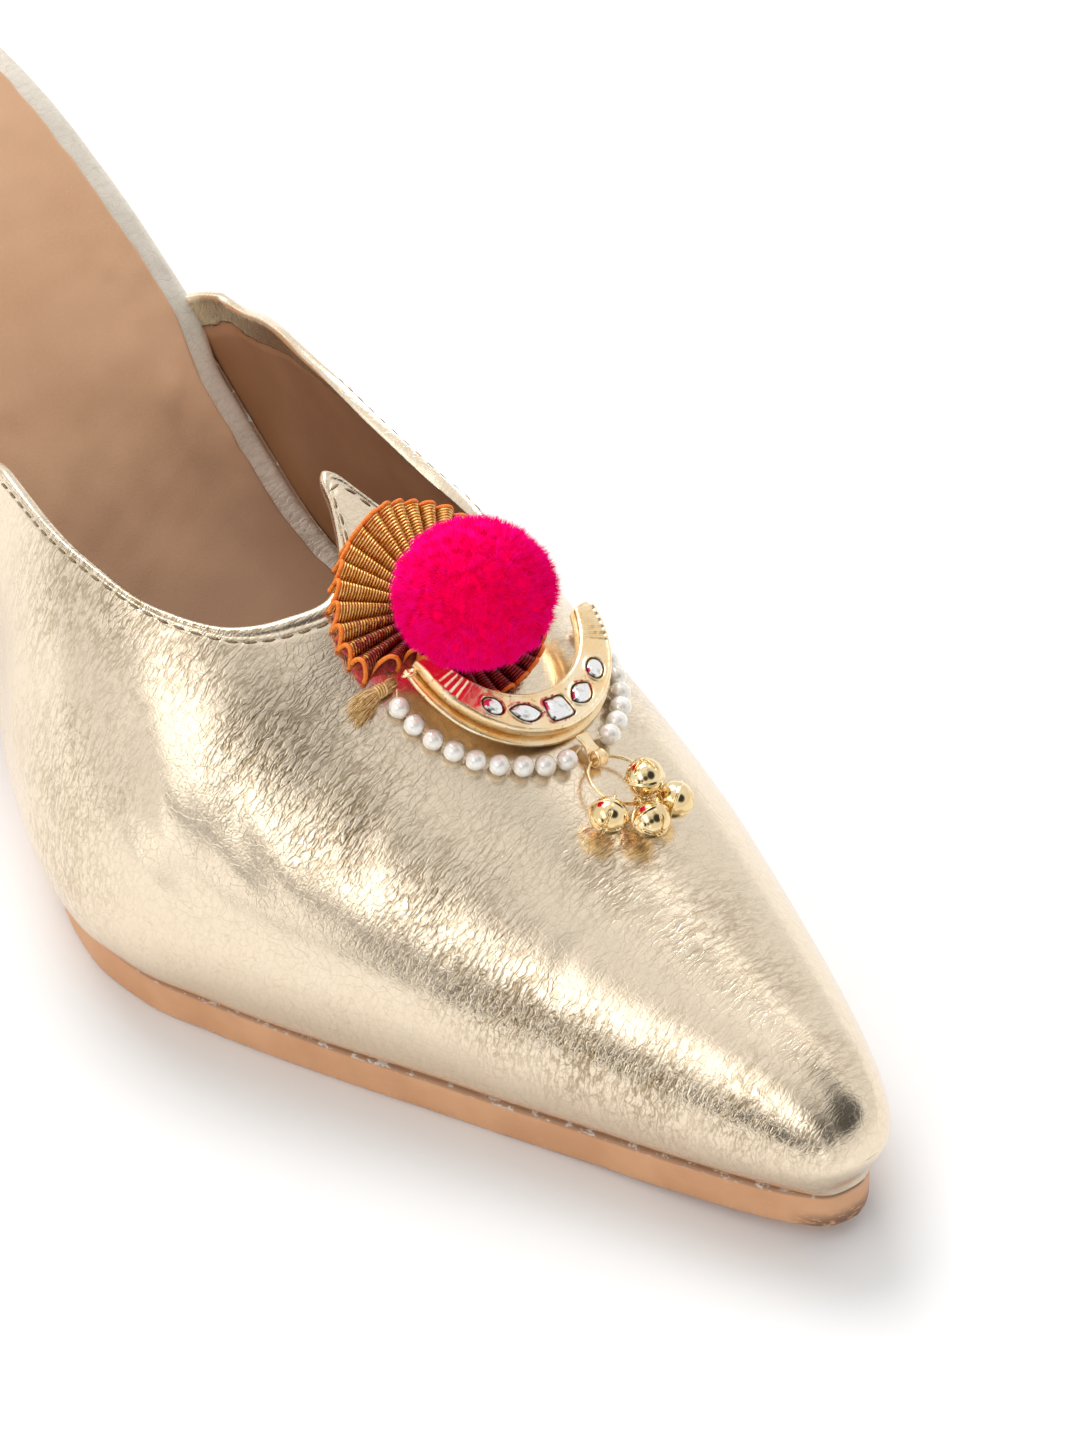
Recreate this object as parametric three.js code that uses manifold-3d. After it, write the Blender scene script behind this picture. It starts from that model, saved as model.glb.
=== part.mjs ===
import * as THREE from 'three';
import { mergeVertices } from 'three/addons/utils/BufferGeometryUtils.js';
import Module from 'manifold-3d';

// A right-foot pointed mule on a block heel, in millimetres.
// X runs across the shoe with the outer side negative, Y from the toe back to the heel, Z up.

// Sole and last
const shoeLength = 240;
const ballWidth = 76;
const heelRise = 63;
const toeSpring = 3.2;
const soleEdge = 6.2;
const shankThickness = 3;
const instepHeight = 63;
const sideBulge = 5.8;
const widestHeight = 13;
const noseOverhang = 2.2;
const noseReach = 24;
const featherTuck = 1.2;
const upperWall = 1.6;
const pieceGap = 0.3;

// Footbed
const boardThickness = 3.2;
const boardInset = 2.6;
const boardToeInset = 3.6;
const boardHeelInset = 0.2;
const rimWidth = 3.9;
const sockThickness = 1;

// Heel
const seatLength = 52;
const heelTipWidth = 31;
const heelTipLength = 29;
const heelBackSetback = 5;
const topPieceThickness = 4;

// Ornament, lying on the throat of the vamp
const ornamentAt = 77.5;
const ornamentPhi = 0.14;
const ruffleRadius = 14.9;
const ruffleHole = 4.5;
const ruffleCloth = 0.8;
const pleatCount = 22;
const pleatHeight = 1.1;
const ruffleX = -6.8;
const ruffleY = -8.6;
const ruffleClear = 0.8;
const pompomX = -10;
const pompomY = -4.3;
const pompomWidth = 25.2;
const pompomDepth = 22.8;
const pompomHeight = 21;
const tuftHeight = 1.2;
const crescentRadius = 16;
const crescentX = -1.5;
const crescentY = -1;
const crescentWidth = 5.6;
const crescentTipWidth = 2.6;
const crescentThickness = 1.9;
const crescentSpan = 186;
const backThickness = 0.9;
const backRim = 0.9;
const stoneDepth = 0.8;
const stoneProud = 0.4;
const pearlDiameter = 2.9;
const pearlPitch = 3.15;
const pearlSag = 2.2;
const pearlRowRadius = 17.7;
const outerPearls = 9;
const innerPearls = 8;
const pearlRowGap = 25;
const pearlRowTurn = -5;
const bailX = 0.3;
const bailBore = 1.5;
const bailBand = 0.5;
const bailWidth = 1.8;
const tongueWidth = 2.4;
const tongueThickness = 0.7;
const tongueReach = 3.3;
const ringDiameter = 9;
const ringWire = 0.5;
const bellDiameter = 5.2;
const bellSeam = 0.22;
const eyeWire = 0.44;
const eyeBore = 1.16;
const bellAngles = [-55, -9.5, 36, 13];
const bellLifts = [0, 0, 0, 116];
const knotLength = 6;
const knotWidth = 3.2;
const knotHeight = 2.6;
const knotStandOff = 3.5;

const degrees = Math.PI / 180;
const wasm = await Module();
wasm.setup();

const shoe = new THREE.Group();

// Colours and finishes
const finishes = {
  foil: { color: 0xd9c9a0, roughness: 0.32, metalness: 0.85 },
  suede: { color: 0xb58c6a, roughness: 0.85, metalness: 0 },
  tan: { color: 0xcf9b72, roughness: 0.6, metalness: 0 },
  rubber: { color: 0x5b4636, roughness: 0.8, metalness: 0 },
  brocade: { color: 0xc98a2a, roughness: 0.5, metalness: 0.4 },
  magenta: { color: 0xf0087a, roughness: 0.9, metalness: 0 },
  castGold: { color: 0xe2b45c, roughness: 0.3, metalness: 1 },
  brass: { color: 0xcfb45a, roughness: 0.18, metalness: 1 },
  crystal: { color: 0xe6ecf2, roughness: 0.05, metalness: 0.3 },
  pearl: { color: 0xf3ece2, roughness: 0.25, metalness: 0 },
  straw: { color: 0xc9a352, roughness: 0.8, metalness: 0 },
};

function addPiece(name, geometry, finish) {
  const mesh = new THREE.Mesh(geometry, new THREE.MeshStandardMaterial(finishes[finish]));
  mesh.name = name;
  shoe.add(mesh);
  return mesh;
}

// Columns of a table, each as its own list
function table(names, rows) {
  const pick = (index) => rows.map((row) => row[index]);
  return Object.fromEntries(names.map((name, index) => [name, pick(index)]));
}

// Monotone cubic through the points, so a curve never swings past its rows
function curve(xs, ys) {
  const steps = xs.slice(1).map((x, i) => x - xs[i]);
  const slopes = steps.map((step, i) => (ys[i + 1] - ys[i]) / step);
  const tangents = ys.map((_, i) => {
    if (i === 0) return slopes[0];
    if (i === ys.length - 1) return slopes[i - 1];
    if (slopes[i - 1] * slopes[i] <= 0) return 0;
    const before = 2 * steps[i] + steps[i - 1];
    const after = steps[i] + 2 * steps[i - 1];
    return (before + after) / (before / slopes[i - 1] + after / slopes[i]);
  });
  return (x) => {
    let i = xs.findIndex((value) => value >= x) - 1;
    if (x >= xs[xs.length - 1]) i = xs.length - 2;
    if (i < 0) i = 0;
    const h = steps[i];
    const s = THREE.MathUtils.clamp((x - xs[i]) / h, 0, 1);
    const held = ys[i] * (1 + 2 * s) * (1 - s) ** 2 + ys[i + 1] * s * s * (3 - 2 * s);
    return held + h * (tangents[i] * s * (1 - s) ** 2 + tangents[i + 1] * s * s * (s - 1));
  };
}

// Rings of equal count joined into one closed body
// Ends may shrink to a line; otherwise each end gets a fan from its own centre.
function loft(rings, closedLoop = false) {
  const count = rings[0].length;
  const points = rings.flat();
  const faces = [];
  const last = closedLoop ? rings.length : rings.length - 1;
  for (let i = 0; i < last; i += 1) {
    const next = (i + 1) % rings.length;
    for (let j = 0; j < count; j += 1) {
      const k = (j + 1) % count;
      faces.push([i * count + j, i * count + k, next * count + k]);
      faces.push([i * count + j, next * count + k, next * count + j]);
    }
  }
  if (!closedLoop) {
    for (const [ring, flip] of [[0, true], [rings.length - 1, false]]) {
      const centre = new THREE.Vector3();
      rings[ring].forEach((point) => centre.addScaledVector(point, 1 / count));
      points.push(centre);
      for (let j = 0; j < count; j += 1) {
        const a = ring * count + j;
        const b = ring * count + ((j + 1) % count);
        faces.push(flip ? [b, a, points.length - 1] : [a, b, points.length - 1]);
      }
    }
  }
  return closedMesh(points, faces);
}

// Welds equal corners, drops faces that shrank to a line, and turns the body outward
function closedMesh(points, faces) {
  const geometry = new THREE.BufferGeometry();
  geometry.setAttribute('position', new THREE.Float32BufferAttribute(points.flatMap((p) => [p.x, p.y, p.z]), 3));
  geometry.setIndex(faces.flat());
  const welded = mergeVertices(geometry, 1e-4);
  const index = Array.from(welded.index.array);
  let kept = [];
  for (let i = 0; i < index.length; i += 3) {
    const [a, b, c] = index.slice(i, i + 3);
    if (a !== b && b !== c && c !== a) kept.push([a, b, c]);
  }
  const twins = new Map();
  kept.forEach((face, i) => {
    const label = [...face].sort((p, q) => p - q).join('_');
    twins.set(label, [...(twins.get(label) ?? []), i]);
  });
  const doubled = new Set([...twins.values()].filter((list) => list.length > 1).flat());
  kept = kept.filter((_, i) => !doubled.has(i));
  const at = (i) => new THREE.Vector3().fromBufferAttribute(welded.attributes.position, i);
  let volume = 0;
  for (const [a, b, c] of kept) volume += at(a).dot(at(b).cross(at(c)));
  if (volume < 0) kept = kept.map(([a, b, c]) => [a, c, b]);
  welded.setIndex(kept.flat());
  welded.computeVertexNormals();
  return welded;
}

// Any geometry as one closed body, with its corners moved by a function when there is one
function tidy(geometry, move = (spot) => spot) {
  const bare = geometry.clone();
  bare.deleteAttribute('normal');
  bare.deleteAttribute('uv');
  const welded = mergeVertices(bare, 1e-4);
  const spots = welded.attributes.position;
  const corners = welded.index.array;
  const points = Array.from({ length: spots.count }, (_, i) => move(new THREE.Vector3().fromBufferAttribute(spots, i), i));
  const faces = Array.from({ length: corners.length / 3 }, (_, i) => Array.from(corners.slice(3 * i, 3 * i + 3)));
  return closedMesh(points, faces);
}

function toManifold(geometry) {
  const welded = tidy(geometry);
  const vertProperties = new Float32Array(welded.attributes.position.array);
  const triVerts = new Uint32Array(welded.index.array);
  return new wasm.Manifold(new wasm.Mesh({ numProp: 3, vertProperties, triVerts }));
}

function fromManifold(solid) {
  const mesh = solid.getMesh();
  const geometry = new THREE.BufferGeometry();
  geometry.setAttribute('position', new THREE.BufferAttribute(new Float32Array(mesh.vertProperties), 3));
  geometry.setIndex(new THREE.BufferAttribute(new Uint32Array(mesh.triVerts), 1));
  geometry.computeVertexNormals();
  return geometry;
}

// Sole outline: share of the length from the toe, both edges as shares of the ball width
const outline = table(['at', 'outer', 'inner'], [
  [0, 0, 0],
  [0.004, -0.057, 0.038],
  [0.018, -0.093, 0.076],
  [0.053, -0.145, 0.139],
  [0.13, -0.237, 0.242],
  [0.215, -0.346, 0.333],
  [0.29, -0.446, 0.388],
  [0.355, -0.522, 0.418],
  [0.4, -0.563, 0.429],
  [0.43, -0.568, 0.428],
  [0.465, -0.545, 0.417],
  [0.52, -0.461, 0.408],
  [0.58, -0.342, 0.411],
  [0.645, -0.236, 0.434],
  [0.7, -0.187, 0.446],
  [0.75, -0.179, 0.447],
  [0.81, -0.208, 0.441],
  [0.87, -0.243, 0.421],
  [0.925, -0.237, 0.372],
  [0.967, -0.166, 0.305],
  [0.99, -0.072, 0.218],
  [1, 0.092, 0.092],
]);
const endKey = (at) => Math.asin(Math.sqrt(THREE.MathUtils.clamp(at, 0, 1)));
const outlineKeys = outline.at.map(endKey);
const outerShare = curve(outlineKeys, outline.outer);
const innerShare = curve(outlineKeys, outline.inner);
const edgeX = (at, side) => ballWidth * (side < 0 ? outerShare : innerShare)(endKey(at));

// Underside of the sole: toe spring in shares of toeSpring, rise in shares of heelRise
const tread = table(['at', 'spring', 'rise'], [
  [0, 1, 0],
  [0.05, 0.62, 0],
  [0.12, 0.19, 0],
  [0.2, 0, 0],
  [0.45, 0, 0],
  [0.5, 0, 0.013],
  [0.56, 0, 0.067],
  [0.62, 0, 0.175],
  [0.7, 0, 0.389],
  [0.78, 0, 0.619],
  [0.86, 0, 0.81],
  [0.93, 0, 0.929],
  [1, 0, 1],
]);
const springShare = curve(tread.at, tread.spring);
const riseShare = curve(tread.at, tread.rise);
const treadZ = (at) => toeSpring * springShare(at) + heelRise * riseShare(at);

// Sole thickness: share of the way from the shank to the forefoot edge
const thickness = table(['at', 'share'], [
  [0, 1],
  [0.45, 1],
  [0.56, 0.69],
  [0.7, 0.06],
  [1, 0],
]);
const thicknessShare = curve(thickness.at, thickness.share);
const soleTop = (at) => treadZ(at) + shankThickness + (soleEdge - shankThickness) * thicknessShare(at);

// Sections of the upper along the foot: ridge place in shares of the ball width, ridge height
// in shares of instepHeight, overhang past the sole in shares of sideBulge, height of the
// widest line in shares of widestHeight, and how square each shoulder is
const last = table(['at', 'ridgeX', 'ridge', 'outer', 'inner', 'wide', 'outerShoulder', 'innerShoulder'], [
  [0, 0, 0.1, 0, 0, 0.54, 1.1, 0.98],
  [0.0104, 0.008, 0.213, 0.24, 0.28, 0.54, 1.1, 0.98],
  [0.033, 0.0105, 0.276, 0.28, 0.38, 0.54, 1.1, 0.98],
  [0.083, 0.0105, 0.346, 0.28, 0.45, 0.62, 1.1, 0.98],
  [0.158, 0.008, 0.435, 0.31, 0.41, 0.73, 1.1, 0.98],
  [0.242, 0, 0.543, 0.38, 0.31, 0.85, 1.1, 0.98],
  [0.325, -0.008, 0.673, 0.45, 0.21, 0.92, 1.1, 0.98],
  [0.4, -0.008, 0.825, 0.59, 0.24, 0.96, 1.1, 1.06],
  [0.454, 0.0066, 0.917, 0.72, 0.31, 0.96, 1.1, 1.2],
  [0.546, 0.02, 1, 0.97, 0.28, 1, 1.1, 1.2],
  [0.604, 0.039, 1, 1, 0.21, 1, 1.1, 1.2],
  [0.667, 0.059, 0.937, 0.86, 0.19, 0.92, 1.1, 1.15],
  [0.75, 0.079, 0.841, 0.52, 0.17, 0.77, 1.1, 1.1],
]);
const lastKeys = last.at.map(Math.sqrt);
const lastCurves = Object.fromEntries(Object.keys(last).map((name) => [name, curve(lastKeys, last[name])]));

// Throat line of the upper: where each column of the surface ends, from the outer rear
// corner over the pointed tab to the inner rear corner
const throat = table(['u', 'phi', 'at'], [
  [-1, -1, 0.733],
  [-0.9, -0.86, 0.717],
  [-0.8, -0.72, 0.69],
  [-0.7, -0.6, 0.652],
  [-0.6, -0.505, 0.6125],
  [-0.5, -0.43, 0.56],
  [-0.4, -0.365, 0.506],
  [-0.3, -0.305, 0.452],
  [-0.22, -0.24, 0.416],
  [-0.15, -0.17, 0.399],
  [-0.09, -0.1, 0.391],
  [-0.05, -0.055, 0.3975],
  [-0.025, -0.024, 0.411],
  [-0.005, 0, 0.429],
  [0.01, 0.014, 0.4425],
  [0.026, 0.032, 0.4475],
  [0.042, 0.05, 0.444],
  [0.06, 0.07, 0.433],
  [0.085, 0.1, 0.417],
  [0.11, 0.124, 0.408],
  [0.15, 0.17, 0.398],
  [0.2, 0.235, 0.392],
  [0.27, 0.32, 0.394],
  [0.34, 0.39, 0.408],
  [0.42, 0.42, 0.44],
  [0.5, 0.43, 0.488],
  [0.58, 0.445, 0.535],
  [0.66, 0.5, 0.582],
  [0.74, 0.6, 0.628],
  [0.83, 0.74, 0.672],
  [0.91, 0.865, 0.711],
  [1, 1, 0.733],
]);
const throatPhi = curve(throat.u, throat.phi);
const throatAt = curve(throat.u, throat.at);

// Outer face of the upper. phi runs from -1 at the outer feather edge over 0 at the ridge to 1
// at the inner feather edge. Above the widest line each half is a quarter of a squared ellipse,
// below it a quarter ellipse tucks under to the feather.
const lowerShare = 0.2;
function vampPoint(at, phi) {
  const value = (name) => lastCurves[name](Math.sqrt(at));
  const side = phi < 0 ? -1 : 1;
  const ridgeX = ballWidth * value('ridgeX');
  const wide = widestHeight * value('wide');
  const ridge = Math.max(wide, instepHeight * value('ridge'));
  const tuck = featherTuck * Math.min(1, (at * shoeLength) / (5 * featherTuck));
  const overhang = sideBulge * value(side < 0 ? 'outer' : 'inner');
  const wideX = edgeX(at, side) + side * overhang - ridgeX;
  const featherX = edgeX(at, side) - side * tuck - ridgeX;
  const reach = Math.abs(phi);
  const topShare = 1 - lowerShare;
  let x;
  let z;
  if (reach <= topShare) {
    const turn = (reach / topShare) * (Math.PI / 2);
    x = wideX * Math.sin(turn);
    const shoulder = value(side < 0 ? 'outerShoulder' : 'innerShoulder');
    z = wide + (ridge - wide) * Math.max(0, Math.cos(turn)) ** shoulder;
  } else {
    const turn = ((reach - topShare) / lowerShare) * (Math.PI / 2);
    x = wideX + (featherX - wideX) * (1 - Math.cos(turn));
    z = wide * (1 - Math.sin(turn));
  }
  const climb = THREE.MathUtils.smoothstep(z / wide, 0, 1);
  const nose = noseOverhang * climb * Math.max(0, 1 - (at * shoeLength) / noseReach) ** 2;
  return new THREE.Vector3(ridgeX + x, at * shoeLength - nose, soleTop(at) + pieceGap + z);
}

// Outward direction of that face, from small steps along and across it
function vampNormal(at, phi) {
  const edge = 0.985;
  const root = Math.max(Math.sqrt(at), 0.03);
  const cross = THREE.MathUtils.clamp(phi, -edge, edge);
  const step = 0.004;
  const along = vampPoint((root + step) ** 2, cross).sub(vampPoint((root - step) ** 2, cross));
  const across = vampPoint(root ** 2, cross + step).sub(vampPoint(root ** 2, cross - step));
  return across.cross(along).normalize();
}

// Upper: the outer face and the same face moved in by the wall, joined along the throat and
// along the feather, open at the throat, at the rear and underneath
function buildUpper() {
  const columns = 40;
  const rows = 15;
  const us = Array.from({ length: columns + 1 }, (_, i) => {
    const even = -1 + (2 * i) / columns;
    return even - 0.16 * Math.sin(even * Math.PI);
  });
  const points = [];
  const faces = [];
  const noseDirection = new THREE.Vector3(0, -1, 0);
  for (const u of us) {
    for (let j = 0; j <= rows; j += 1) {
      const share = (j / rows) ** 2;
      const at = throatAt(u) * share;
      const phi = u + (throatPhi(u) - u) * share;
      const outer = vampPoint(at, phi);
      const direction = j === 0 ? noseDirection : vampNormal(at, phi);
      points.push(outer, outer.clone().addScaledVector(direction, -upperWall));
    }
  }
  const spot = (i, j, inside) => 2 * (i * (rows + 1) + j) + inside;
  const quad = (a, b, c, d) => faces.push([a, b, c], [a, c, d]);
  for (let i = 0; i < columns; i += 1) {
    for (let j = 0; j < rows; j += 1) {
      quad(spot(i, j, 0), spot(i + 1, j, 0), spot(i + 1, j + 1, 0), spot(i, j + 1, 0));
      quad(spot(i, j, 1), spot(i, j + 1, 1), spot(i + 1, j + 1, 1), spot(i + 1, j, 1));
    }
    quad(spot(i, rows, 0), spot(i + 1, rows, 0), spot(i + 1, rows, 1), spot(i, rows, 1));
  }
  for (let j = 0; j < rows; j += 1) {
    quad(spot(0, j, 0), spot(0, j + 1, 0), spot(0, j + 1, 1), spot(0, j, 1));
    quad(spot(columns, j, 1), spot(columns, j + 1, 1), spot(columns, j + 1, 0), spot(columns, j, 0));
  }
  return closedMesh(points, faces);
}

// Point of the sole outline moved inward by inset, on the outer or inner side. The outline is
// followed by its key, so the inset line stays round at the heel.
function insetEdge(key, side, inset) {
  const small = 0.01;
  const spot = (k) => new THREE.Vector2(edgeX(Math.sin(k) ** 2, side), Math.sin(k) ** 2 * shoeLength);
  const along = spot(Math.min(Math.PI / 2, key + small)).sub(spot(key - small)).normalize();
  const here = spot(key);
  return new THREE.Vector2(here.x - side * along.y * inset, here.y + side * along.x * inset);
}

// Layer of the footbed from a share of the length back to the heel, with a section given as
// rows of [extra inset, height]. Its section points run up the outer side, over and down the
// inner one.
function footbedLayer({ from, inset, section, base, stations }) {
  const rings = [];
  const first = endKey(from);
  for (let i = 0; i <= stations; i += 1) {
    const key = first + ((Math.PI / 2 - first) * i) / stations;
    const at = Math.sin(key) ** 2;
    const ring = [];
    for (const [side, rows] of [[-1, section], [1, [...section].reverse()]]) {
      for (const [extra, height] of rows) {
        const spot = insetEdge(key, side, inset(at) + extra);
        ring.push(new THREE.Vector3(spot.x, spot.y, base(spot.y / shoeLength) + height));
      }
    }
    rings.push(ring);
  }
  return loft(rings);
}

const heelBreast = 1 - seatLength / shoeLength;
const treadRound = 0.8;
const soleSection = (height) => [
  [treadRound, 0],
  [0, treadRound],
  [0, height - treadRound / 2],
  [treadRound / 2, height],
];

// Outsole with its own edge shape: thick at the forefoot, thin under the arch
function buildOutsole() {
  const stations = 36;
  const endAt = heelBreast - pieceGap / shoeLength;
  const rings = [];
  for (let i = 0; i <= stations; i += 1) {
    const at = Math.sin((endKey(endAt) * i) / stations) ** 2;
    const ring = [];
    const rows = soleSection(soleTop(at) - treadZ(at));
    for (const [side, list] of [[-1, rows], [1, [...rows].reverse()]]) {
      for (const [extra, height] of list) {
        const width = (edgeX(at, 1) - edgeX(at, -1)) / 2;
        ring.push(new THREE.Vector3(edgeX(at, side) - side * Math.min(extra, width), at * shoeLength, treadZ(at) + height));
      }
    }
    rings.push(ring);
  }
  return loft(rings);
}

// Insole board wrapped with a rounded rim: set inside the upper in front, flush behind it
const boardInsets = curve([0, 0.03, 0.14, 0.735, 0.775, 1], [1, 1, 0, 0, -1, -1]);
const boardEdgeInset = (at) => {
  const share = boardInsets(at);
  return boardInset + Math.max(0, share) * (boardToeInset - boardInset) + Math.min(0, share) * (boardInset - boardHeelInset);
};
const rimRound = 1.1;
const boardSection = [
  [0.5, 0],
  [0, 0.5 * boardThickness],
  [0.3 * rimRound, boardThickness - 0.4 * rimRound],
  [rimRound, boardThickness],
];
const boardBase = (at) => soleTop(at) + pieceGap;
const boardStart = 0.025;
const sockStart = 0.075;

function buildBoard() {
  return footbedLayer({ from: boardStart, inset: boardEdgeInset, section: boardSection, base: boardBase, stations: 34 });
}

function buildSock() {
  const inset = (at) => boardEdgeInset(at) + rimWidth;
  const base = (at) => boardBase(at) + boardThickness + pieceGap;
  const section = [
    [0.2, 0],
    [0, 0.45 * sockThickness],
    [0.8, sockThickness],
  ];
  return footbedLayer({ from: sockStart, inset, section, base, stations: 32 });
}

// Heel block: sections from the seat down to the top piece, the front pulled back and the
// sides drawn in. Columns: share of the drop, share of the way to the tip's size.
const taper = table(['down', 'width', 'front', 'back'], [
  [0, 0, 0, 0],
  [0.12, 0.3, 0.34, 0.12],
  [0.3, 0.62, 0.66, 0.35],
  [0.6, 0.88, 0.92, 0.7],
  [1, 1, 1, 1],
]);
const taperWidth = curve(taper.down, taper.width);
const taperFront = curve(taper.down, taper.front);
const taperBack = curve(taper.down, taper.back);

function heelRing(down, bottom) {
  const arc = 18;
  const ring = [];
  const startKey = endKey(heelBreast + pieceGap / shoeLength);
  const seatWidth = edgeX(0.86, 1) - edgeX(0.86, -1);
  const middle = (edgeX(0.86, 1) + edgeX(0.86, -1)) / 2;
  const widthScale = 1 + taperWidth(down) * (heelTipWidth / seatWidth - 1);
  const front = shoeLength - seatLength + pieceGap;
  const frontY = front + taperFront(down) * (seatLength - heelTipLength - heelBackSetback);
  const backY = shoeLength - taperBack(down) * heelBackSetback;
  const place = (at, side) => {
    const share = (at * shoeLength - front) / (shoeLength - front);
    const x = middle + (edgeX(at, side) - middle) * widthScale;
    const y = frontY + share * (backY - frontY);
    const seat = soleTop(at);
    return new THREE.Vector3(x, y, seat + (bottom - seat) * down);
  };
  for (let i = 0; i <= arc; i += 1) ring.push(place(Math.sin(startKey + ((Math.PI / 2 - startKey) * i) / arc) ** 2, -1));
  for (let i = arc - 1; i >= 0; i -= 1) ring.push(place(Math.sin(startKey + ((Math.PI / 2 - startKey) * i) / arc) ** 2, 1));
  return ring;
}

function buildHeel() {
  const bottom = topPieceThickness + pieceGap;
  return loft([0, 0.06, 0.14, 0.26, 0.42, 0.68, 1].map((down) => heelRing(down, bottom)));
}

function buildTopPiece() {
  const low = heelRing(1, 0);
  const high = heelRing(1, topPieceThickness);
  return loft([low, high]);
}

addPiece('outsole', buildOutsole(), 'tan');
addPiece('insole_board', buildBoard(), 'foil');
addPiece('insole_sock', buildSock(), 'suede');
addPiece('upper', buildUpper(), 'foil');
addPiece('heel', buildHeel(), 'foil');
addPiece('heel_top_piece', buildTopPiece(), 'rubber');

// Plane that the ornament lies in, touching the vamp at its own point:
// a runs across towards the inner side, b towards the toe, h away from the leather
const ornamentOrigin = vampPoint(ornamentAt / shoeLength, ornamentPhi);
const axisH = vampNormal(ornamentAt / shoeLength, ornamentPhi);
const axisA = new THREE.Vector3(0, 1, 0).cross(axisH).normalize();
const axisB = axisA.clone().cross(axisH).normalize();
function onPlane(a, b, h) {
  return ornamentOrigin.clone().addScaledVector(axisA, a).addScaledVector(axisB, b).addScaledVector(axisH, h);
}

// Height of the leather over that plane at a place on it, found by Newton steps
function leatherHeight(a, b) {
  let at = (ornamentAt - 0.92 * b) / shoeLength;
  let phi = ornamentPhi + a / ballWidth;
  const read = (s, p) => {
    const offset = vampPoint(s, p).sub(ornamentOrigin);
    return [offset.dot(axisA), offset.dot(axisB), offset.dot(axisH)];
  };
  const step = 1e-4;
  for (let turn = 0; turn < 12; turn += 1) {
    const here = read(at, phi);
    const byAt = read(at + step, phi).map((value, i) => (value - here[i]) / step);
    const byPhi = read(at, phi + step).map((value, i) => (value - here[i]) / step);
    const det = byAt[0] * byPhi[1] - byAt[1] * byPhi[0];
    const da = a - here[0];
    const db = b - here[1];
    at = THREE.MathUtils.clamp(at + (da * byPhi[1] - db * byPhi[0]) / det, 0.05, 0.6);
    phi = THREE.MathUtils.clamp(phi + (byAt[0] * db - byAt[1] * da) / det, -0.78, 0.78);
  }
  return read(at, phi)[2];
}

// Crescent: turn 0 points towards the inner side and 90 towards the toe
const crescentStart = 90 - crescentSpan / 2;
const crescentBand = (share) => crescentTipWidth + (crescentWidth - crescentTipWidth) * Math.sin(Math.PI * share) ** 0.8;
const crescentTurn = (share) => (crescentStart + crescentSpan * share) * degrees;
function crescentSpot(share, radius, h) {
  const turn = crescentTurn(share);
  return onPlane(crescentX + radius * Math.cos(turn), crescentY + radius * Math.sin(turn), h);
}
const standOff = Math.max(...Array.from({ length: 25 }, (_, i) => {
  const turn = crescentTurn(i / 24);
  const radius = crescentRadius + backRim;
  return leatherHeight(crescentX + radius * Math.cos(turn), crescentY + radius * Math.sin(turn));
})) + pieceGap;
const backTop = standOff + backThickness;
const crescentFloor = backTop + pieceGap;
const crescentTop = crescentFloor + crescentThickness;

// Pleated ribbon rosette: a ring of cloth whose height waves round it, more at the rim.
// It stops short of the crescent and of the knot at its outer tip
const knotMargin = 8;
function ruffleReach(turn) {
  let radius = ruffleRadius;
  const blocked = () => {
    const a = ruffleX + radius * Math.cos(turn) - crescentX;
    const b = ruffleY + radius * Math.sin(turn) - crescentY;
    const place = Math.atan2(b, a) / degrees;
    const share = ((place < -90 ? place + 360 : place) - crescentStart) / crescentSpan;
    if (share < -0.02 || share > 1 + knotMargin / crescentSpan) return false;
    const band = crescentBand(THREE.MathUtils.clamp(share, 0, 1));
    return Math.hypot(a, b) > crescentRadius - band - ruffleClear;
  };
  while (blocked() && radius > 1.5 * ruffleHole) radius -= 0.1;
  return radius;
}

function ruffleSpot(turn, radius) {
  const a = ruffleX + radius * Math.cos(turn);
  const b = ruffleY + radius * Math.sin(turn);
  const wave = pleatHeight * (1 + Math.cos(pleatCount * turn)) * (radius / ruffleReach(turn));
  return { a, b, h: leatherHeight(a, b) + 2 * pieceGap + wave };
}
const ruffleStations = pleatCount * 4;
const ruffleSpots = Array.from({ length: ruffleStations }, (_, i) => {
  const turn = (2 * Math.PI * i) / ruffleStations;
  const reach = ruffleReach(turn);
  return [ruffleHole, (ruffleHole + reach) / 2, reach].map((radius) => ruffleSpot(turn, radius));
});

function buildRuffle() {
  return loft(ruffleSpots.map((spots) => {
    const low = spots.map(({ a, b, h }) => onPlane(a, b, h));
    const high = spots.map(({ a, b, h }) => onPlane(a, b, h + ruffleCloth));
    return [...low, ...high.reverse()];
  }), true);
}

// Pompom: a ball of tufts about its own middle, every tuft a corner drawn in by its own share
const pompomBall = tidy(new THREE.IcosahedronGeometry(1, 5), (way, i) => {
  const tuft = tuftHeight * Math.sin(i * 2.4) ** 2;
  return new THREE.Vector3(pompomWidth / 2 - tuft, pompomDepth / 2 - tuft, pompomHeight / 2 - tuft).multiply(way);
});

// Height of that middle at which the ball just clears the ruffle and the crescent under it
function pompomSeat() {
  const rim = Array.from({ length: 25 }, (_, i) => {
    const radius = crescentRadius - crescentBand(i / 24);
    const turn = crescentTurn(i / 24);
    return { a: crescentX + radius * Math.cos(turn), b: crescentY + radius * Math.sin(turn), h: crescentTop };
  });
  const cloth = ruffleSpots.flat().map(({ a, b, h }) => ({ a, b, h: h + ruffleCloth }));
  const ball = new THREE.Mesh(pompomBall);
  const up = new THREE.Vector3(0, 0, 1);
  const needed = [...rim, ...cloth].map(({ a, b, h }) => {
    const below = new THREE.Vector3(a - pompomX, b - pompomY, -pompomHeight);
    const [hit] = new THREE.Raycaster(below, up).intersectObject(ball);
    return hit ? h + pieceGap - hit.point.z : 0;
  });
  return Math.max(...needed);
}

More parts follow.
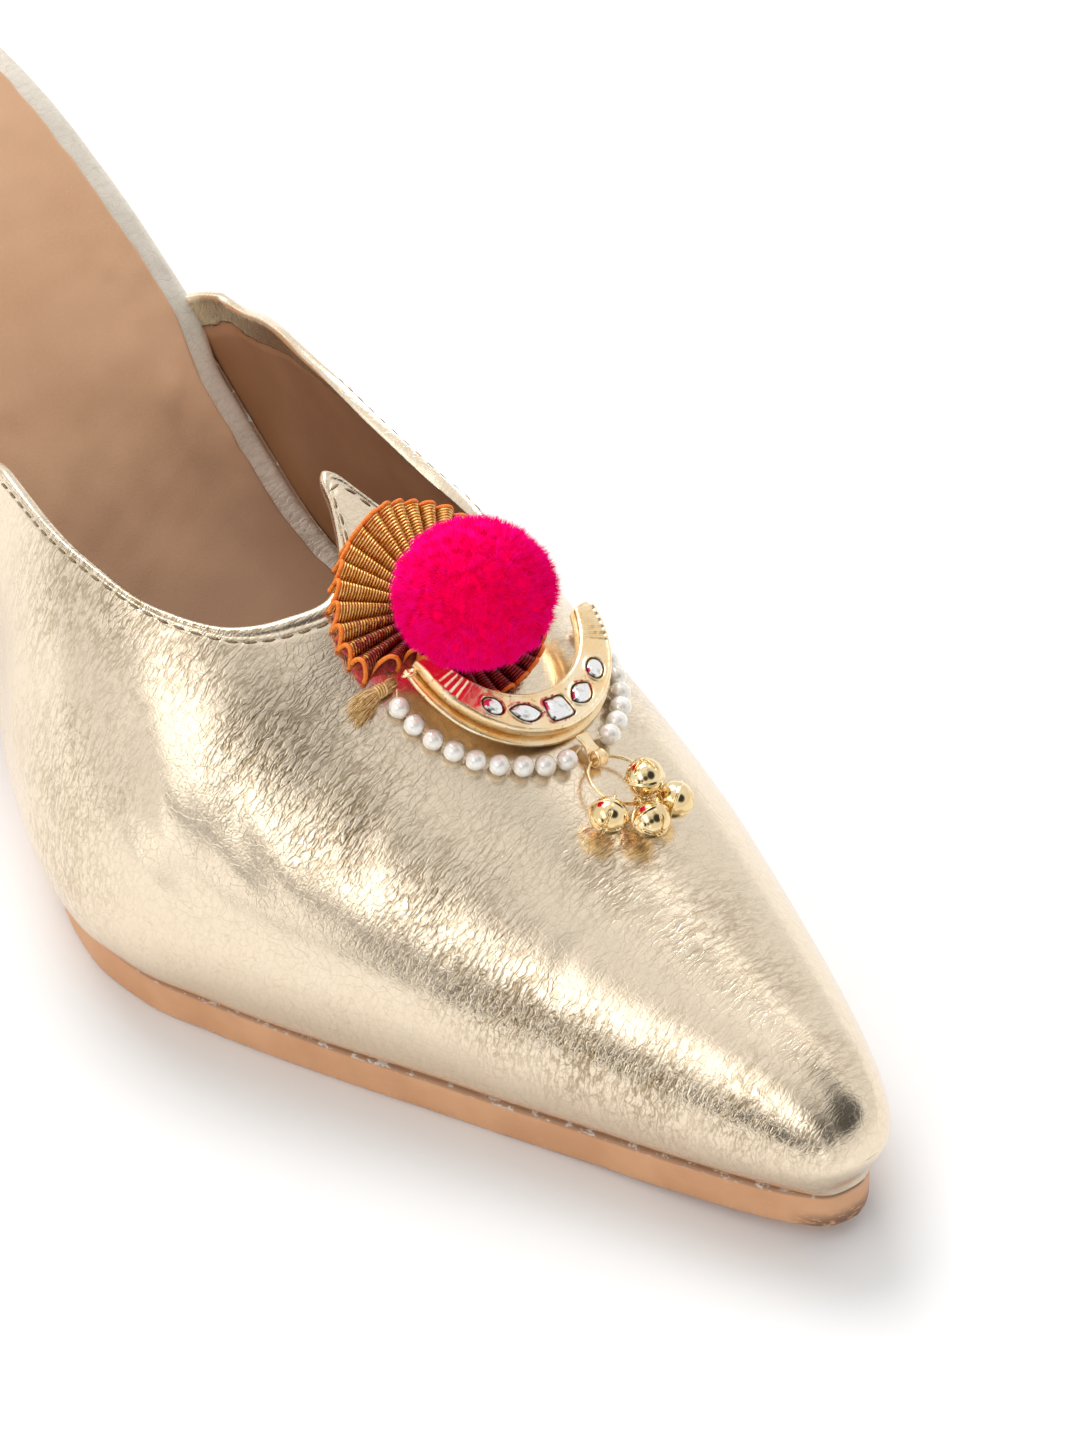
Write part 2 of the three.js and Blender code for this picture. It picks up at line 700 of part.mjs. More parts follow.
function buildPompom() {
  const middle = pompomSeat();
  return tidy(pompomBall, (spot) => onPlane(pompomX + spot.x, pompomY + spot.y, middle + spot.z));
}

function crescentRings(section) {
  const stations = 24;
  return Array.from({ length: stations + 1 }, (_, i) => {
    const share = i / stations;
    const tip = Math.min(1, 0.35 + 9 * Math.min(share, 1 - share));
    const band = crescentBand(share) * tip;
    return section(share, band).map(([radius, h]) => crescentSpot(share, radius, h));
  });
}

// Stones down the crescent: place as a share of its arc, half length along the arc, half width
// across it, and the power that squares their outline (1 is a pointed almond)
const stones = table(['share', 'long', 'wide', 'power'], [
  [0.3, 1.35, 1.0, 2],
  [0.42, 2.0, 0.95, 1.25],
  [0.54, 1.75, 1.3, 7],
  [0.66, 1.55, 1.1, 1.5],
  [0.77, 1.3, 1.15, 2.4],
]);

const stoneSides = 14;
function stoneOutline(i, grow) {
  const share = stones.share[i];
  const band = crescentBand(share);
  const power = 2 / stones.power[i];
  const middle = crescentRadius - band * 0.52;
  return Array.from({ length: stoneSides }, (_, k) => {
    const turn = (2 * Math.PI * (k + 0.5)) / stoneSides;
    const squash = (value) => Math.sign(value) * Math.abs(value) ** power;
    return [
      share + ((stones.long[i] + grow) * squash(Math.cos(turn))) / (middle * crescentSpan * degrees),
      middle + (stones.wide[i] + grow) * squash(Math.sin(turn)),
    ];
  });
}

function stonePrism(i, grow, low, high, shrink) {
  const rim = stoneOutline(i, grow);
  const share = stones.share[i];
  const middle = crescentRadius - crescentBand(share) * 0.52;
  const level = (h, scale) => rim.map(([s, r]) => crescentSpot(share + (s - share) * scale, middle + (r - middle) * scale, h));
  const rings = [level(low, 1), level(high - shrink, 1)];
  if (shrink > 0) rings.push(level(high, 0.6));
  return loft(rings);
}

function buildCrescent() {
  const lip = 0.35;
  const body = loft(crescentRings((share, band) => [
    [crescentRadius - band, crescentFloor],
    [crescentRadius - lip, crescentFloor],
    [crescentRadius, crescentFloor + crescentThickness * 0.35],
    [crescentRadius, crescentTop - lip],
    [crescentRadius - lip, crescentTop],
    [crescentRadius - band + lip, crescentTop],
    [crescentRadius - band, crescentTop - lip],
  ]));
  let solid = toManifold(body);
  stones.share.forEach((_, i) => {
    const floor = crescentTop - stoneDepth;
    const pocket = stonePrism(i, pieceGap, floor, crescentTop + 1, 0);
    solid = solid.subtract(toManifold(pocket));
  });
  return fromManifold(solid);
}

function buildCrescentBack() {
  return loft(crescentRings((share, band) => [
    [crescentRadius - band + backRim, standOff],
    [crescentRadius + backRim, standOff],
    [crescentRadius + backRim, backTop],
    [crescentRadius - band + backRim, backTop],
  ]));
}

addPiece('ruffle', buildRuffle(), 'brocade');
addPiece('pompom', buildPompom(), 'magenta');
addPiece('crescent', buildCrescent(), 'castGold');
addPiece('crescent_back', buildCrescentBack(), 'castGold');
stones.share.forEach((_, i) => {
  const floor = crescentTop - stoneDepth + pieceGap;
  addPiece(`stone_${i + 1}`, stonePrism(i, 0, floor, crescentTop + stoneProud, stoneProud), 'crystal');
});

// Pearls on two strings that hang round the crescent and lie on the leather
function pearlSpot(turnDegrees) {
  const turn = turnDegrees * degrees;
  const radius = pearlRowRadius + pearlSag * Math.max(0, Math.sin(turn)) ** 2;
  const a = crescentX + radius * Math.cos(turn);
  const b = crescentY + radius * Math.sin(turn);
  return onPlane(a, b, leatherHeight(a, b) + pieceGap + pearlDiameter / 2);
}

// Next turn along the row at which the pearls lie one pitch apart
function nextPearl(turn, way) {
  const here = pearlSpot(turn);
  let next = turn;
  while (pearlSpot(next).distanceTo(here) < pearlPitch) next += way * 0.1;
  return next;
}

let pearlNumber = 0;
for (const [count, way] of [[outerPearls, 1], [innerPearls, -1]]) {
  let turn = 90 + pearlRowTurn + (way * pearlRowGap) / 2;
  for (let i = 0; i < count; i += 1) {
    pearlNumber += 1;
    const ball = new THREE.SphereGeometry(pearlDiameter / 2, 8, 6);
    const pearl = addPiece(`pearl_${String(pearlNumber).padStart(2, '0')}`, ball, 'pearl');
    pearl.position.copy(pearlSpot(turn));
    turn = nextPearl(turn, way);
  }
}

// Bail: a band round the ring's wire with a tongue back to the plate behind the crescent
const bailRadius = bailBore / 2 + bailBand;
const tongueFrom = crescentY + crescentRadius + backRim + pieceGap;
const bailY = tongueFrom + tongueReach + bailRadius - bailBand;
const bailH = Math.max(standOff + tongueThickness / 2, leatherHeight(bailX, bailY) + pieceGap + bailRadius);
function bandRing(radius, bore, width, sides) {
  const profile = [
    new THREE.Vector2(bore, -width / 2),
    new THREE.Vector2(radius, -width / 2),
    new THREE.Vector2(radius, width / 2),
    new THREE.Vector2(bore, width / 2),
    new THREE.Vector2(bore, -width / 2),
  ];
  return new THREE.LatheGeometry(profile, sides);
}

// Geometry whose own X, Y and Z are laid along three given directions at a place
function lay(geometry, x, y, z, place) {
  const frame = new THREE.Matrix4().makeBasis(x, y, z).setPosition(place);
  return geometry.clone().applyMatrix4(frame);
}
const planeBasis = [axisA, axisB.clone().negate(), axisH];

function buildBail() {
  const band = lay(bandRing(bailRadius, bailBore / 2, bailWidth, 18), axisB, axisA, axisH.clone().negate(), onPlane(bailX, bailY, bailH));
  const reach = bailY - bailBore / 2 - bailBand / 2 - tongueFrom;
  const tongue = new THREE.BoxGeometry(tongueWidth, reach, tongueThickness);
  const placed = lay(tongue, ...planeBasis, onPlane(bailX, tongueFrom + reach / 2, bailH));
  return fromManifold(toManifold(band).add(toManifold(placed)));
}
addPiece('bail', buildBail(), 'castGold');

// Jump ring through the bail: its plane tips up towards the toe until it is clear of the leather
// and the bells that lie in that plane rest on it
const ringRadius = ringDiameter / 2;
const eyeRadius = (eyeBore + eyeWire) / 2;
const bellDistance = bellDiameter / 2 + eyeRadius - eyeWire / 4;
const bellReach = bellDiameter / 2 + bellSeam;
function lowestBell(tilt) {
  const gaps = bellAngles.filter((_, i) => bellLifts[i] === 0).map((angle) => {
    const reach = ringRadius + bellDistance;
    const a = bailX + reach * Math.sin(angle * degrees);
    const run = ringRadius + reach * Math.cos(angle * degrees);
    const b = bailY + run * Math.cos(tilt * degrees);
    return bailH + run * Math.sin(tilt * degrees) - bellReach - leatherHeight(a, b);
  });
  return Math.min(...gaps);
}
let ringTilt = 0;
while (lowestBell(ringTilt) < 1.5 * pieceGap && ringTilt < 60) ringTilt += 0.5;
const ringWay = axisB.clone().multiplyScalar(Math.cos(ringTilt * degrees)).addScaledVector(axisH, Math.sin(ringTilt * degrees));
const ringNormal = axisA.clone().cross(ringWay).negate().normalize();
const ringPivot = onPlane(bailX, bailY, bailH);
const ringCentre = ringPivot.clone().addScaledVector(ringWay, ringRadius);
const ringBody = new THREE.TorusGeometry(ringRadius, ringWire / 2, 6, 22);
addPiece('jump_ring', lay(ringBody, axisA, ringWay.clone(), axisA.clone().cross(ringWay), ringCentre), 'brass');

// Bells: a ball with a proud seam and a closed eye round the wire
function buildBell(angle, lift) {
  const turn = angle * degrees;
  const out = ringWay.clone().multiplyScalar(Math.cos(turn)).addScaledVector(axisA, Math.sin(turn));
  const along = out.clone().cross(ringNormal).normalize();
  const wire = ringCentre.clone().addScaledVector(out, ringRadius);
  const way = out.clone().multiplyScalar(Math.cos(lift * degrees)).addScaledVector(ringNormal, Math.sin(lift * degrees));
  const cross = along.clone().cross(way).normalize();
  const centre = wire.clone().addScaledVector(way, bellDistance);
  const ball = lay(new THREE.SphereGeometry(bellDiameter / 2, 12, 8), along, way, cross, centre);
  const seam = lay(bandRing(bellDiameter / 2 + bellSeam, bellDiameter / 2 - bellSeam, 2 * bellSeam, 12), along, way, cross, centre);
  const eye = lay(new THREE.TorusGeometry(eyeRadius, eyeWire / 2, 5, 9), cross, way, along.clone().negate(), wire);
  return fromManifold(toManifold(ball).add(toManifold(seam)).add(toManifold(eye)));
}
bellAngles.forEach((angle, i) => addPiece(`bell_${i + 1}`, buildBell(angle, bellLifts[i]), 'brass'));

// Straw knot at the outer tip of the crescent
function buildKnot() {
  const base = 2 * pieceGap + knotHeight / 2;
  const fromCentre = crescentRadius + knotStandOff;
  const middleA = crescentX + fromCentre * Math.cos(crescentTurn(1));
  const middleB = crescentY + fromCentre * Math.sin(crescentTurn(1));
  return tidy(new THREE.SphereGeometry(1, 10, 7), (way, i) => {
    const lump = 1 + 0.12 * Math.sin(i * 1.7);
    const a = middleA + (way.x * lump * knotLength) / 2;
    const b = middleB + (way.y * lump * knotWidth) / 2;
    return onPlane(a, b, leatherHeight(a, b) + base + (way.z * knotHeight) / 2);
  });
}
addPiece('fibre_knot', buildKnot(), 'straw');

// The shoe stands on Z = 0 with the middle of its outline at the origin
const box = new THREE.Box3().setFromObject(shoe);
const middle = box.getCenter(new THREE.Vector3());
shoe.position.set(-middle.x, -middle.y, 0);
shoe.updateMatrixWorld(true);

export default shoe;
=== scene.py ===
import math

import bpy
import numpy as np
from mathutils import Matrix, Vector


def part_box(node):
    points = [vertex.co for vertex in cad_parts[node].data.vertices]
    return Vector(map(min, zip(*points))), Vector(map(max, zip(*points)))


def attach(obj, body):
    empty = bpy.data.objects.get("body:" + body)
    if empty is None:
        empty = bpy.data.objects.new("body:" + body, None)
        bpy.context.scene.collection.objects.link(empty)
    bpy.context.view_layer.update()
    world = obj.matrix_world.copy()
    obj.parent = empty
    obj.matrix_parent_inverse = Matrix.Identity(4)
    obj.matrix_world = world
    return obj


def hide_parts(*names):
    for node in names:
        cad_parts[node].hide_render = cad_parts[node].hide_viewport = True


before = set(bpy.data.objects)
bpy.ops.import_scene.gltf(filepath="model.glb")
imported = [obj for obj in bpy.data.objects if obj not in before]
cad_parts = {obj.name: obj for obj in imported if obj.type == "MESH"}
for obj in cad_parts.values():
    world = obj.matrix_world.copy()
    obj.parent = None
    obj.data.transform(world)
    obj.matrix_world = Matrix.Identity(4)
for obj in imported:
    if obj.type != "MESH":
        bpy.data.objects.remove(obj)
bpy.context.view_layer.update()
mm = 0.001
print("frame loaded:", len(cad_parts), "nodes")

# The last: the same driving sizes and section tables as the solids, in millimetres
shoe = {
    "length": 240, "ballWidth": 76, "heelRise": 63, "toeSpring": 3.2, "soleEdge": 6.2,
    "shank": 3, "instep": 63, "bulge": 5.8, "widest": 13, "noseOverhang": 2.2, "noseReach": 24,
    "featherTuck": 1.2, "wall": 1.6, "gap": 0.3, "lowerShare": 0.2,
}
footbed = {"board": 3.2, "inset": 2.6, "toeInset": 3.6, "heelInset": 0.2, "rim": 3.9, "sock": 1}
heelPlan = {"seat": 52, "tipWidth": 31, "tipLength": 29, "setback": 5, "topPiece": 4, "widest": 0.86}


def curveThrough(xs, ys):
    # monotone cubic through the points: it never swings past its rows
    xs, ys = np.array(xs, float), np.array(ys, float)
    steps = np.diff(xs)
    slopes = np.diff(ys) / steps
    before, after = 2 * steps[1:] + steps[:-1], steps[1:] + 2 * steps[:-1]
    turning = slopes[:-1] * slopes[1:] <= 0
    first, second = np.where(turning, 1, slopes[:-1]), np.where(turning, 1, slopes[1:])
    middle = np.where(turning, 0, (before + after) / (before / first + after / second))
    tangents = np.concatenate([slopes[:1], middle, slopes[-1:]])

    def value(x):
        x = np.asarray(x, float)
        i = np.clip(np.searchsorted(xs, x) - 1, 0, len(xs) - 2)
        s = np.clip((x - xs[i]) / steps[i], 0, 1)
        held = ys[i] * (1 + 2 * s) * (1 - s) ** 2 + ys[i + 1] * s * s * (3 - 2 * s)
        return held + steps[i] * (tangents[i] * s * (1 - s) ** 2 + tangents[i + 1] * s * s * (s - 1))
    return value


def endKey(at):
    return np.arcsin(np.sqrt(np.clip(at, 0, 1)))


# Sole outline: share of the length, then both edges as shares of the ball width
outline = np.array([
    [0, 0, 0], [0.004, -0.057, 0.038], [0.018, -0.093, 0.076], [0.053, -0.145, 0.139],
    [0.13, -0.237, 0.242], [0.215, -0.346, 0.333], [0.29, -0.446, 0.388], [0.355, -0.522, 0.418],
    [0.4, -0.563, 0.429], [0.43, -0.568, 0.428], [0.465, -0.545, 0.417], [0.52, -0.461, 0.408],
    [0.58, -0.342, 0.411], [0.645, -0.236, 0.434], [0.7, -0.187, 0.446], [0.75, -0.179, 0.447],
    [0.81, -0.208, 0.441], [0.87, -0.243, 0.421], [0.925, -0.237, 0.372], [0.967, -0.166, 0.305],
    [0.99, -0.072, 0.218], [1, 0.092, 0.092]])
outerEdge = curveThrough(endKey(outline[:, 0]), outline[:, 1])
innerEdge = curveThrough(endKey(outline[:, 0]), outline[:, 2])


def edgeX(at, side):
    return shoe["ballWidth"] * np.where(side < 0, outerEdge(endKey(at)), innerEdge(endKey(at)))


# Underside and thickness of the sole along the foot
springShare = curveThrough([0, 0.05, 0.12, 0.2, 0.45, 1], [1, 0.62, 0.19, 0, 0, 0])
riseShare = curveThrough([0, 0.2, 0.45, 0.5, 0.56, 0.62, 0.7, 0.78, 0.86, 0.93, 1],
                         [0, 0, 0, 0.013, 0.067, 0.175, 0.389, 0.619, 0.81, 0.929, 1])
thickShare = curveThrough([0, 0.45, 0.56, 0.7, 1], [1, 1, 0.69, 0.06, 0])


def treadZ(at):
    return shoe["toeSpring"] * springShare(at) + shoe["heelRise"] * riseShare(at)


def soleTop(at):
    return treadZ(at) + shoe["shank"] + (shoe["soleEdge"] - shoe["shank"]) * thickShare(at)


# Sections of the upper: ridge place and height, overhang past the sole, widest line, shoulders
lastNames = ["at", "ridgeX", "ridge", "outer", "inner", "wide", "outerShoulder", "innerShoulder"]
lastRows = np.array([
    [0, 0, 0.1, 0, 0, 0.54, 1.1, 0.98], [0.0104, 0.008, 0.213, 0.24, 0.28, 0.54, 1.1, 0.98],
    [0.033, 0.0105, 0.276, 0.28, 0.38, 0.54, 1.1, 0.98],
    [0.083, 0.0105, 0.346, 0.28, 0.45, 0.62, 1.1, 0.98],
    [0.158, 0.008, 0.435, 0.31, 0.41, 0.73, 1.1, 0.98], [0.242, 0, 0.543, 0.38, 0.31, 0.85, 1.1, 0.98],
    [0.325, -0.008, 0.673, 0.45, 0.21, 0.92, 1.1, 0.98], [0.4, -0.008, 0.825, 0.59, 0.24, 0.96, 1.1, 1.06],
    [0.454, 0.0066, 0.917, 0.72, 0.31, 0.96, 1.1, 1.2], [0.546, 0.02, 1, 0.97, 0.28, 1, 1.1, 1.2],
    [0.604, 0.039, 1, 1, 0.21, 1, 1.1, 1.2], [0.667, 0.059, 0.937, 0.86, 0.19, 0.92, 1.1, 1.15],
    [0.75, 0.079, 0.841, 0.52, 0.17, 0.77, 1.1, 1.1]])
lastCurve = {name: curveThrough(np.sqrt(lastRows[:, 0]), row) for name, row in zip(lastNames, lastRows.T)}

# Throat line: where each column u of the upper's surface ends
throat = np.array([
    [-1, -1, 0.733], [-0.9, -0.86, 0.717], [-0.8, -0.72, 0.69], [-0.7, -0.6, 0.652],
    [-0.6, -0.505, 0.6125], [-0.5, -0.43, 0.56], [-0.4, -0.365, 0.506], [-0.3, -0.305, 0.452],
    [-0.22, -0.24, 0.416], [-0.15, -0.17, 0.399], [-0.09, -0.1, 0.391], [-0.05, -0.055, 0.3975],
    [-0.025, -0.024, 0.411], [-0.005, 0, 0.429], [0.01, 0.014, 0.4425], [0.026, 0.032, 0.4475],
    [0.042, 0.05, 0.444], [0.06, 0.07, 0.433], [0.085, 0.1, 0.417], [0.11, 0.124, 0.408],
    [0.15, 0.17, 0.398], [0.2, 0.235, 0.392], [0.27, 0.32, 0.394], [0.34, 0.39, 0.408],
    [0.42, 0.42, 0.44], [0.5, 0.43, 0.488], [0.58, 0.445, 0.535], [0.66, 0.5, 0.582],
    [0.74, 0.6, 0.628], [0.83, 0.74, 0.672], [0.91, 0.865, 0.711], [1, 1, 0.733]])
throatPhi = curveThrough(throat[:, 0], throat[:, 1])
throatAt = curveThrough(throat[:, 0], throat[:, 2])


def smooth(x, low=0.0, high=1.0):
    s = np.clip((x - low) / (high - low), 0, 1)
    return s * s * (3 - 2 * s)


def vamp(at, phi):
    # outer face of the upper: phi -1 at the outer feather edge, 0 at the ridge, 1 at the inner one.
    # Above the widest line each half is a quarter of a squared ellipse, below it a quarter ellipse.
    at, phi = np.broadcast_arrays(np.asarray(at, float), np.asarray(phi, float))
    row = {name: lastCurve[name](np.sqrt(at)) for name in lastNames[1:]}
    side = np.where(phi < 0, -1, 1)
    back = at * shoe["length"]
    ridgeX = shoe["ballWidth"] * row["ridgeX"]
    wide = shoe["widest"] * row["wide"]
    ridge = np.maximum(wide, shoe["instep"] * row["ridge"])
    tuck = shoe["featherTuck"] * np.minimum(1, back / (5 * shoe["featherTuck"]))
    overhang = shoe["bulge"] * np.where(phi < 0, row["outer"], row["inner"])
    wideX = edgeX(at, side) + side * overhang - ridgeX
    featherX = edgeX(at, side) - side * tuck - ridgeX
    reach, topShare = np.abs(phi), 1 - shoe["lowerShare"]
    turn = np.clip(reach / topShare, 0, 1) * math.pi / 2
    shoulder = np.where(phi < 0, row["outerShoulder"], row["innerShoulder"])
    low = np.clip((reach - topShare) / shoe["lowerShare"], 0, 1) * math.pi / 2
    above = reach <= topShare
    x = np.where(above, wideX * np.sin(turn), wideX + (featherX - wideX) * (1 - np.cos(low)))
    crown = np.maximum(0, np.cos(turn)) ** shoulder
    z = np.where(above, wide + (ridge - wide) * crown, wide * (1 - np.sin(low)))
    nose = shoe["noseOverhang"] * smooth(z / wide) * np.maximum(0, 1 - back / shoe["noseReach"]) ** 2
    return np.stack([ridgeX + x, back - nose, soleTop(at) + shoe["gap"] + z], -1)


# The shoe's own millimetres to the frame's metres: the toe end of the sole and its widest point
soleLow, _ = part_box("outsole")
stationKeys = endKey(1 - (heelPlan["seat"] + shoe["gap"]) / shoe["length"]) * np.linspace(0, 1, 37)
shift = np.array([soleLow.x / mm - edgeX(np.sin(stationKeys) ** 2, -1).min(), soleLow.y / mm, 0])


def unit(vectors):
    return vectors / np.maximum(np.linalg.norm(vectors, axis=-1, keepdims=True), 1e-12)


# Mesh making
def gridQuads(rows, columns, wrapRows=False, wrapColumns=False):
    # quads of a grid whose point (i, j) is i * columns + j
    i = np.arange(rows if wrapRows else rows - 1)[:, None]
    j = np.arange(columns if wrapColumns else columns - 1)[None, :]
    up, right = (i + 1) % rows, (j + 1) % columns
    corners = [i * columns + j, i * columns + right, up * columns + right, up * columns + j]
    return np.stack(np.broadcast_arrays(*corners), -1).reshape(-1, 4)


def signedVolume(points, faces):
    # six times the volume inside the faces, below 0 where they are inside out: fans of triangles
    volume = 0.0
    for group in faces:
        for k in range(1, group.shape[1] - 1):
            a, b, c = (points[group[:, i]] for i in (0, k, k + 1))
            volume += np.einsum("ij,ij->", a, np.cross(b, c))
    return volume


def around(count):
    return np.linspace(0, 2 * math.pi, count, endpoint=False)


def boxy(wave, power):
    # a sine or cosine with its corners drawn out: below 1 makes a rounded box, 1 a circle
    return np.sign(wave) * np.abs(wave) ** power


def sphere(tall, turn):
    x, y = np.sin(tall) * np.cos(turn), np.sin(tall) * np.sin(turn)
    return np.broadcast_arrays(x, y, np.cos(tall) * np.ones_like(turn))


def lidded(rings):
    # a stack of closed rings with a lid on its first and last
    count, width = rings.shape[:2]
    lids = [np.arange(width)[None, ::-1], (count - 1) * width + np.arange(width)[None]]
    return rings, [gridQuads(count, width, wrapColumns=True), *lids]


def makePiece(name, points, faces, look, body="root", slot=None, replaces=(), uv=None, flat=False,
              keep=False):
    # points in the shoe's millimetres, faces as arrays of corner numbers, turned outward and, but for
    # keep, welded
    points = np.asarray(points, float).reshape(-1, 3)
    faces = [np.asarray(group) for group in (faces if isinstance(faces, list) else [faces])]
    lengths = np.concatenate([np.full(len(group), group.shape[1]) for group in faces])
    corners = np.concatenate([group.ravel() for group in faces])
    mesh = bpy.data.meshes.new(name)
    mesh.vertices.add(len(points))
    mesh.vertices.foreach_set("co", ((points + shift) * mm).astype(np.float32).ravel())
    mesh.loops.add(len(corners))
    mesh.loops.foreach_set("vertex_index", corners.astype(np.int32))
    mesh.polygons.add(len(lengths))
    mesh.polygons.foreach_set("loop_start", (np.cumsum(lengths) - lengths).astype(np.int32))
    mesh.polygons.foreach_set("loop_total", lengths.astype(np.int32))
    if uv is not None:
        layer = mesh.uv_layers.new(name="UVMap")
        layer.data.foreach_set("uv", np.asarray(uv, float).reshape(-1, 2)[corners].astype(np.float32).ravel())
    mesh.update(calc_edges=True)
    if signedVolume(points, faces) < 0:
        mesh.flip_normals()
    mesh.validate()
    mesh.polygons.foreach_set("use_smooth", np.full(len(mesh.polygons), not flat))
    piece = bpy.data.objects.new(name, mesh)
    bpy.context.scene.collection.objects.link(piece)
    if not keep:
        weld = piece.modifiers.new("weld", "WELD")
        weld.merge_threshold = 1e-6
        bpy.context.view_layer.update()
        evaluated = piece.evaluated_get(bpy.context.evaluated_depsgraph_get())
        welded = bpy.data.meshes.new_from_object(evaluated)
        piece.modifiers.clear()
        piece.data = welded
        bpy.data.meshes.remove(mesh)
        welded.name = name
    piece.data.materials.clear()
    piece.data.materials.append(look)
    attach(piece, body)
    if replaces:
        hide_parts(*replaces)


# Materials: a wrapped socket, so that shader maths reads as plain Python
class Wire:
    def __init__(self, look, link):
        self.look, self.link = look, link

    def maths(self, operation, *values):
        return self.look.node("ShaderNodeMath", {"operation": operation}, dict(enumerate(values)))

    def __add__(self, other):
        return self.maths("ADD", self, other)

    def __sub__(self, other):
        return self.maths("SUBTRACT", self, other)

    def __rsub__(self, other):
        return self.maths("SUBTRACT", other, self)

    def __mul__(self, other):
        return self.maths("MULTIPLY", self, other)

    def wave(self):
        return self.maths("SINE", self)

    def size(self):
        return self.maths("ABSOLUTE", self)

    def between(self, low, high):
        # 0 below low and 1 above high, with a soft step
        return self.look.node("ShaderNodeMapRange", {"interpolation_type": "SMOOTHSTEP"},
                              {"Value": self, "From Min": low, "From Max": high, "To Min": 0, "To Max": 1})

    __radd__ = __add__
    __rmul__ = __mul__


class Look:
    def __init__(self, name, **fixed):
        self.material = bpy.data.materials.new(name)
        self.material.use_nodes = True
        self.tree = self.material.node_tree
        self.shader = self.tree.nodes["Principled BSDF"]
        for socket, value in fixed.items():
            self.shader.inputs[socket.replace("_", " ")].default_value = value
        self.place = self.node("ShaderNodeTexCoord", output="Object")

    def node(self, kind, settings=None, inputs=None, output=0):
        made = self.tree.nodes.new(kind)
        for setting, value in (settings or {}).items():
            setattr(made, setting, value)
        for socket, value in (inputs or {}).items():
            self.feed(made.inputs[socket], value)
        return Wire(self, made.outputs[output])

    def feed(self, socket, value):
        if isinstance(value, Wire):
            self.tree.links.new(value.link, socket)
        elif isinstance(value, tuple) and len(value) == 3 and socket.type == "RGBA":
            socket.default_value = (*value, 1)
        else:
            socket.default_value = value

    def noise(self, size, detail=2, roughness=0.5, place=None):
        # size is the width of one blot in millimetres
        return self.node("ShaderNodeTexNoise", {}, {
            "Vector": place or self.place, "Scale": 1 / (size * mm), "Detail": detail,
            "Roughness": roughness})

    def cells(self, size, feature="F1", place=None, output="Distance"):
        return self.node("ShaderNodeTexVoronoi", {"feature": feature},
                         {"Vector": place or self.place, "Scale": 1 / (size * mm)}, output)

    def stretched(self, turn, scale, place=None):
        return self.node("ShaderNodeMapping", {},
                         {"Vector": place or self.place, "Rotation": turn, "Scale": scale})

    def uv(self, axis):
        place = self.node("ShaderNodeUVMap", {"uv_map": "UVMap"})
        return self.node("ShaderNodeSeparateXYZ", {}, {0: place}, axis)

    def mix(self, share, first, second):
        return self.node("ShaderNodeMix", {"data_type": "RGBA"}, {0: share, 6: first, 7: second}, 2)

    def wear(self, base=None, roughness=None, metallic=None, bumps=()):
        # bumps are pairs of a height and its depth in millimetres, laid one over the other
        for socket, value in (("Base Color", base), ("Roughness", roughness), ("Metallic", metallic)):
            if value is not None:
                self.feed(self.shader.inputs[socket], value)
        normal = None
        for height, depth in bumps:
            inputs = {"Height": height, "Distance": depth * mm, "Strength": 1.0}
            if normal:
                inputs["Normal"] = normal
            normal = self.node("ShaderNodeBump", {}, inputs)
        if normal:
            self.feed(self.shader.inputs["Normal"], normal)
        return self.material


# Camera, floor and light
cameraPlan = {"azimuth": -43, "elevation": 45, "distance": 1000, "lens": 175, "sensor": 36,
              "aimX": 34.7, "aimBack": 99.1}


def wayTo(azimuth, height):
    # azimuth 0 looks off the toe, 90 off the inner side
    a, e = math.radians(azimuth), math.radians(height)
    return Vector((math.sin(a) * math.cos(e), -math.cos(a) * math.cos(e), math.sin(e)))


def makeCamera():
    back = wayTo(cameraPlan["azimuth"], cameraPlan["elevation"])
    aim = Vector(((cameraPlan["aimX"] + shift[0]) * mm, (cameraPlan["aimBack"] + shift[1]) * mm, 0))
    data = bpy.data.cameras.new("camera")
    data.lens, data.sensor_width = cameraPlan["lens"], cameraPlan["sensor"]
    camera = bpy.data.objects.new("camera", data)
    bpy.context.scene.collection.objects.link(camera)
    camera.location = aim + back * cameraPlan["distance"] * mm
    camera.rotation_euler = (-back).to_track_quat("-Z", "Y").to_euler()
    bpy.context.scene.camera = camera


lightPlan = {
    "floor": (0.92, 0.92, 0.92), "floorHalf": 2.5, "sky": 0.94, "aim": (0.01, -0.03, 0.03),
    # patches of the studio's wall laid one over the other: azimuth, height, degrees where full and
    # gone, level
    "patches": [
        (105, 25, 30, 60, 0.90), (0, 90, 8, 17, 1.06), (-50, 68, 10, 25, 0.92), (-50, 56, 6, 14, 0.56),
        (38, 70, 4, 16, 0.58), (10, 43, 17, 30, 0.05), (-38, 36, 9, 18, 0.07), (-80, 9, 8, 14, 0.03),
        (-60, 19, 4, 11, 0.2), (-75, 36, 6, 12, 2.6), (-90, 44, 7, 13, 2.3), (-104, 47, 7, 15, 2.0),
        (-48, 5, 3, 9, 1.8), (97, 57, 4, 10, 1.5),
    ],
    "boxes": [
        # name, azimuth, height, distance in metres, width, height, power
        ("key", 163, 54, 1.5, 0.9, 0.9, 14),
        ("low", -84, 7, 0.293, 0.10, 0.07, 0.027),
    ],
}


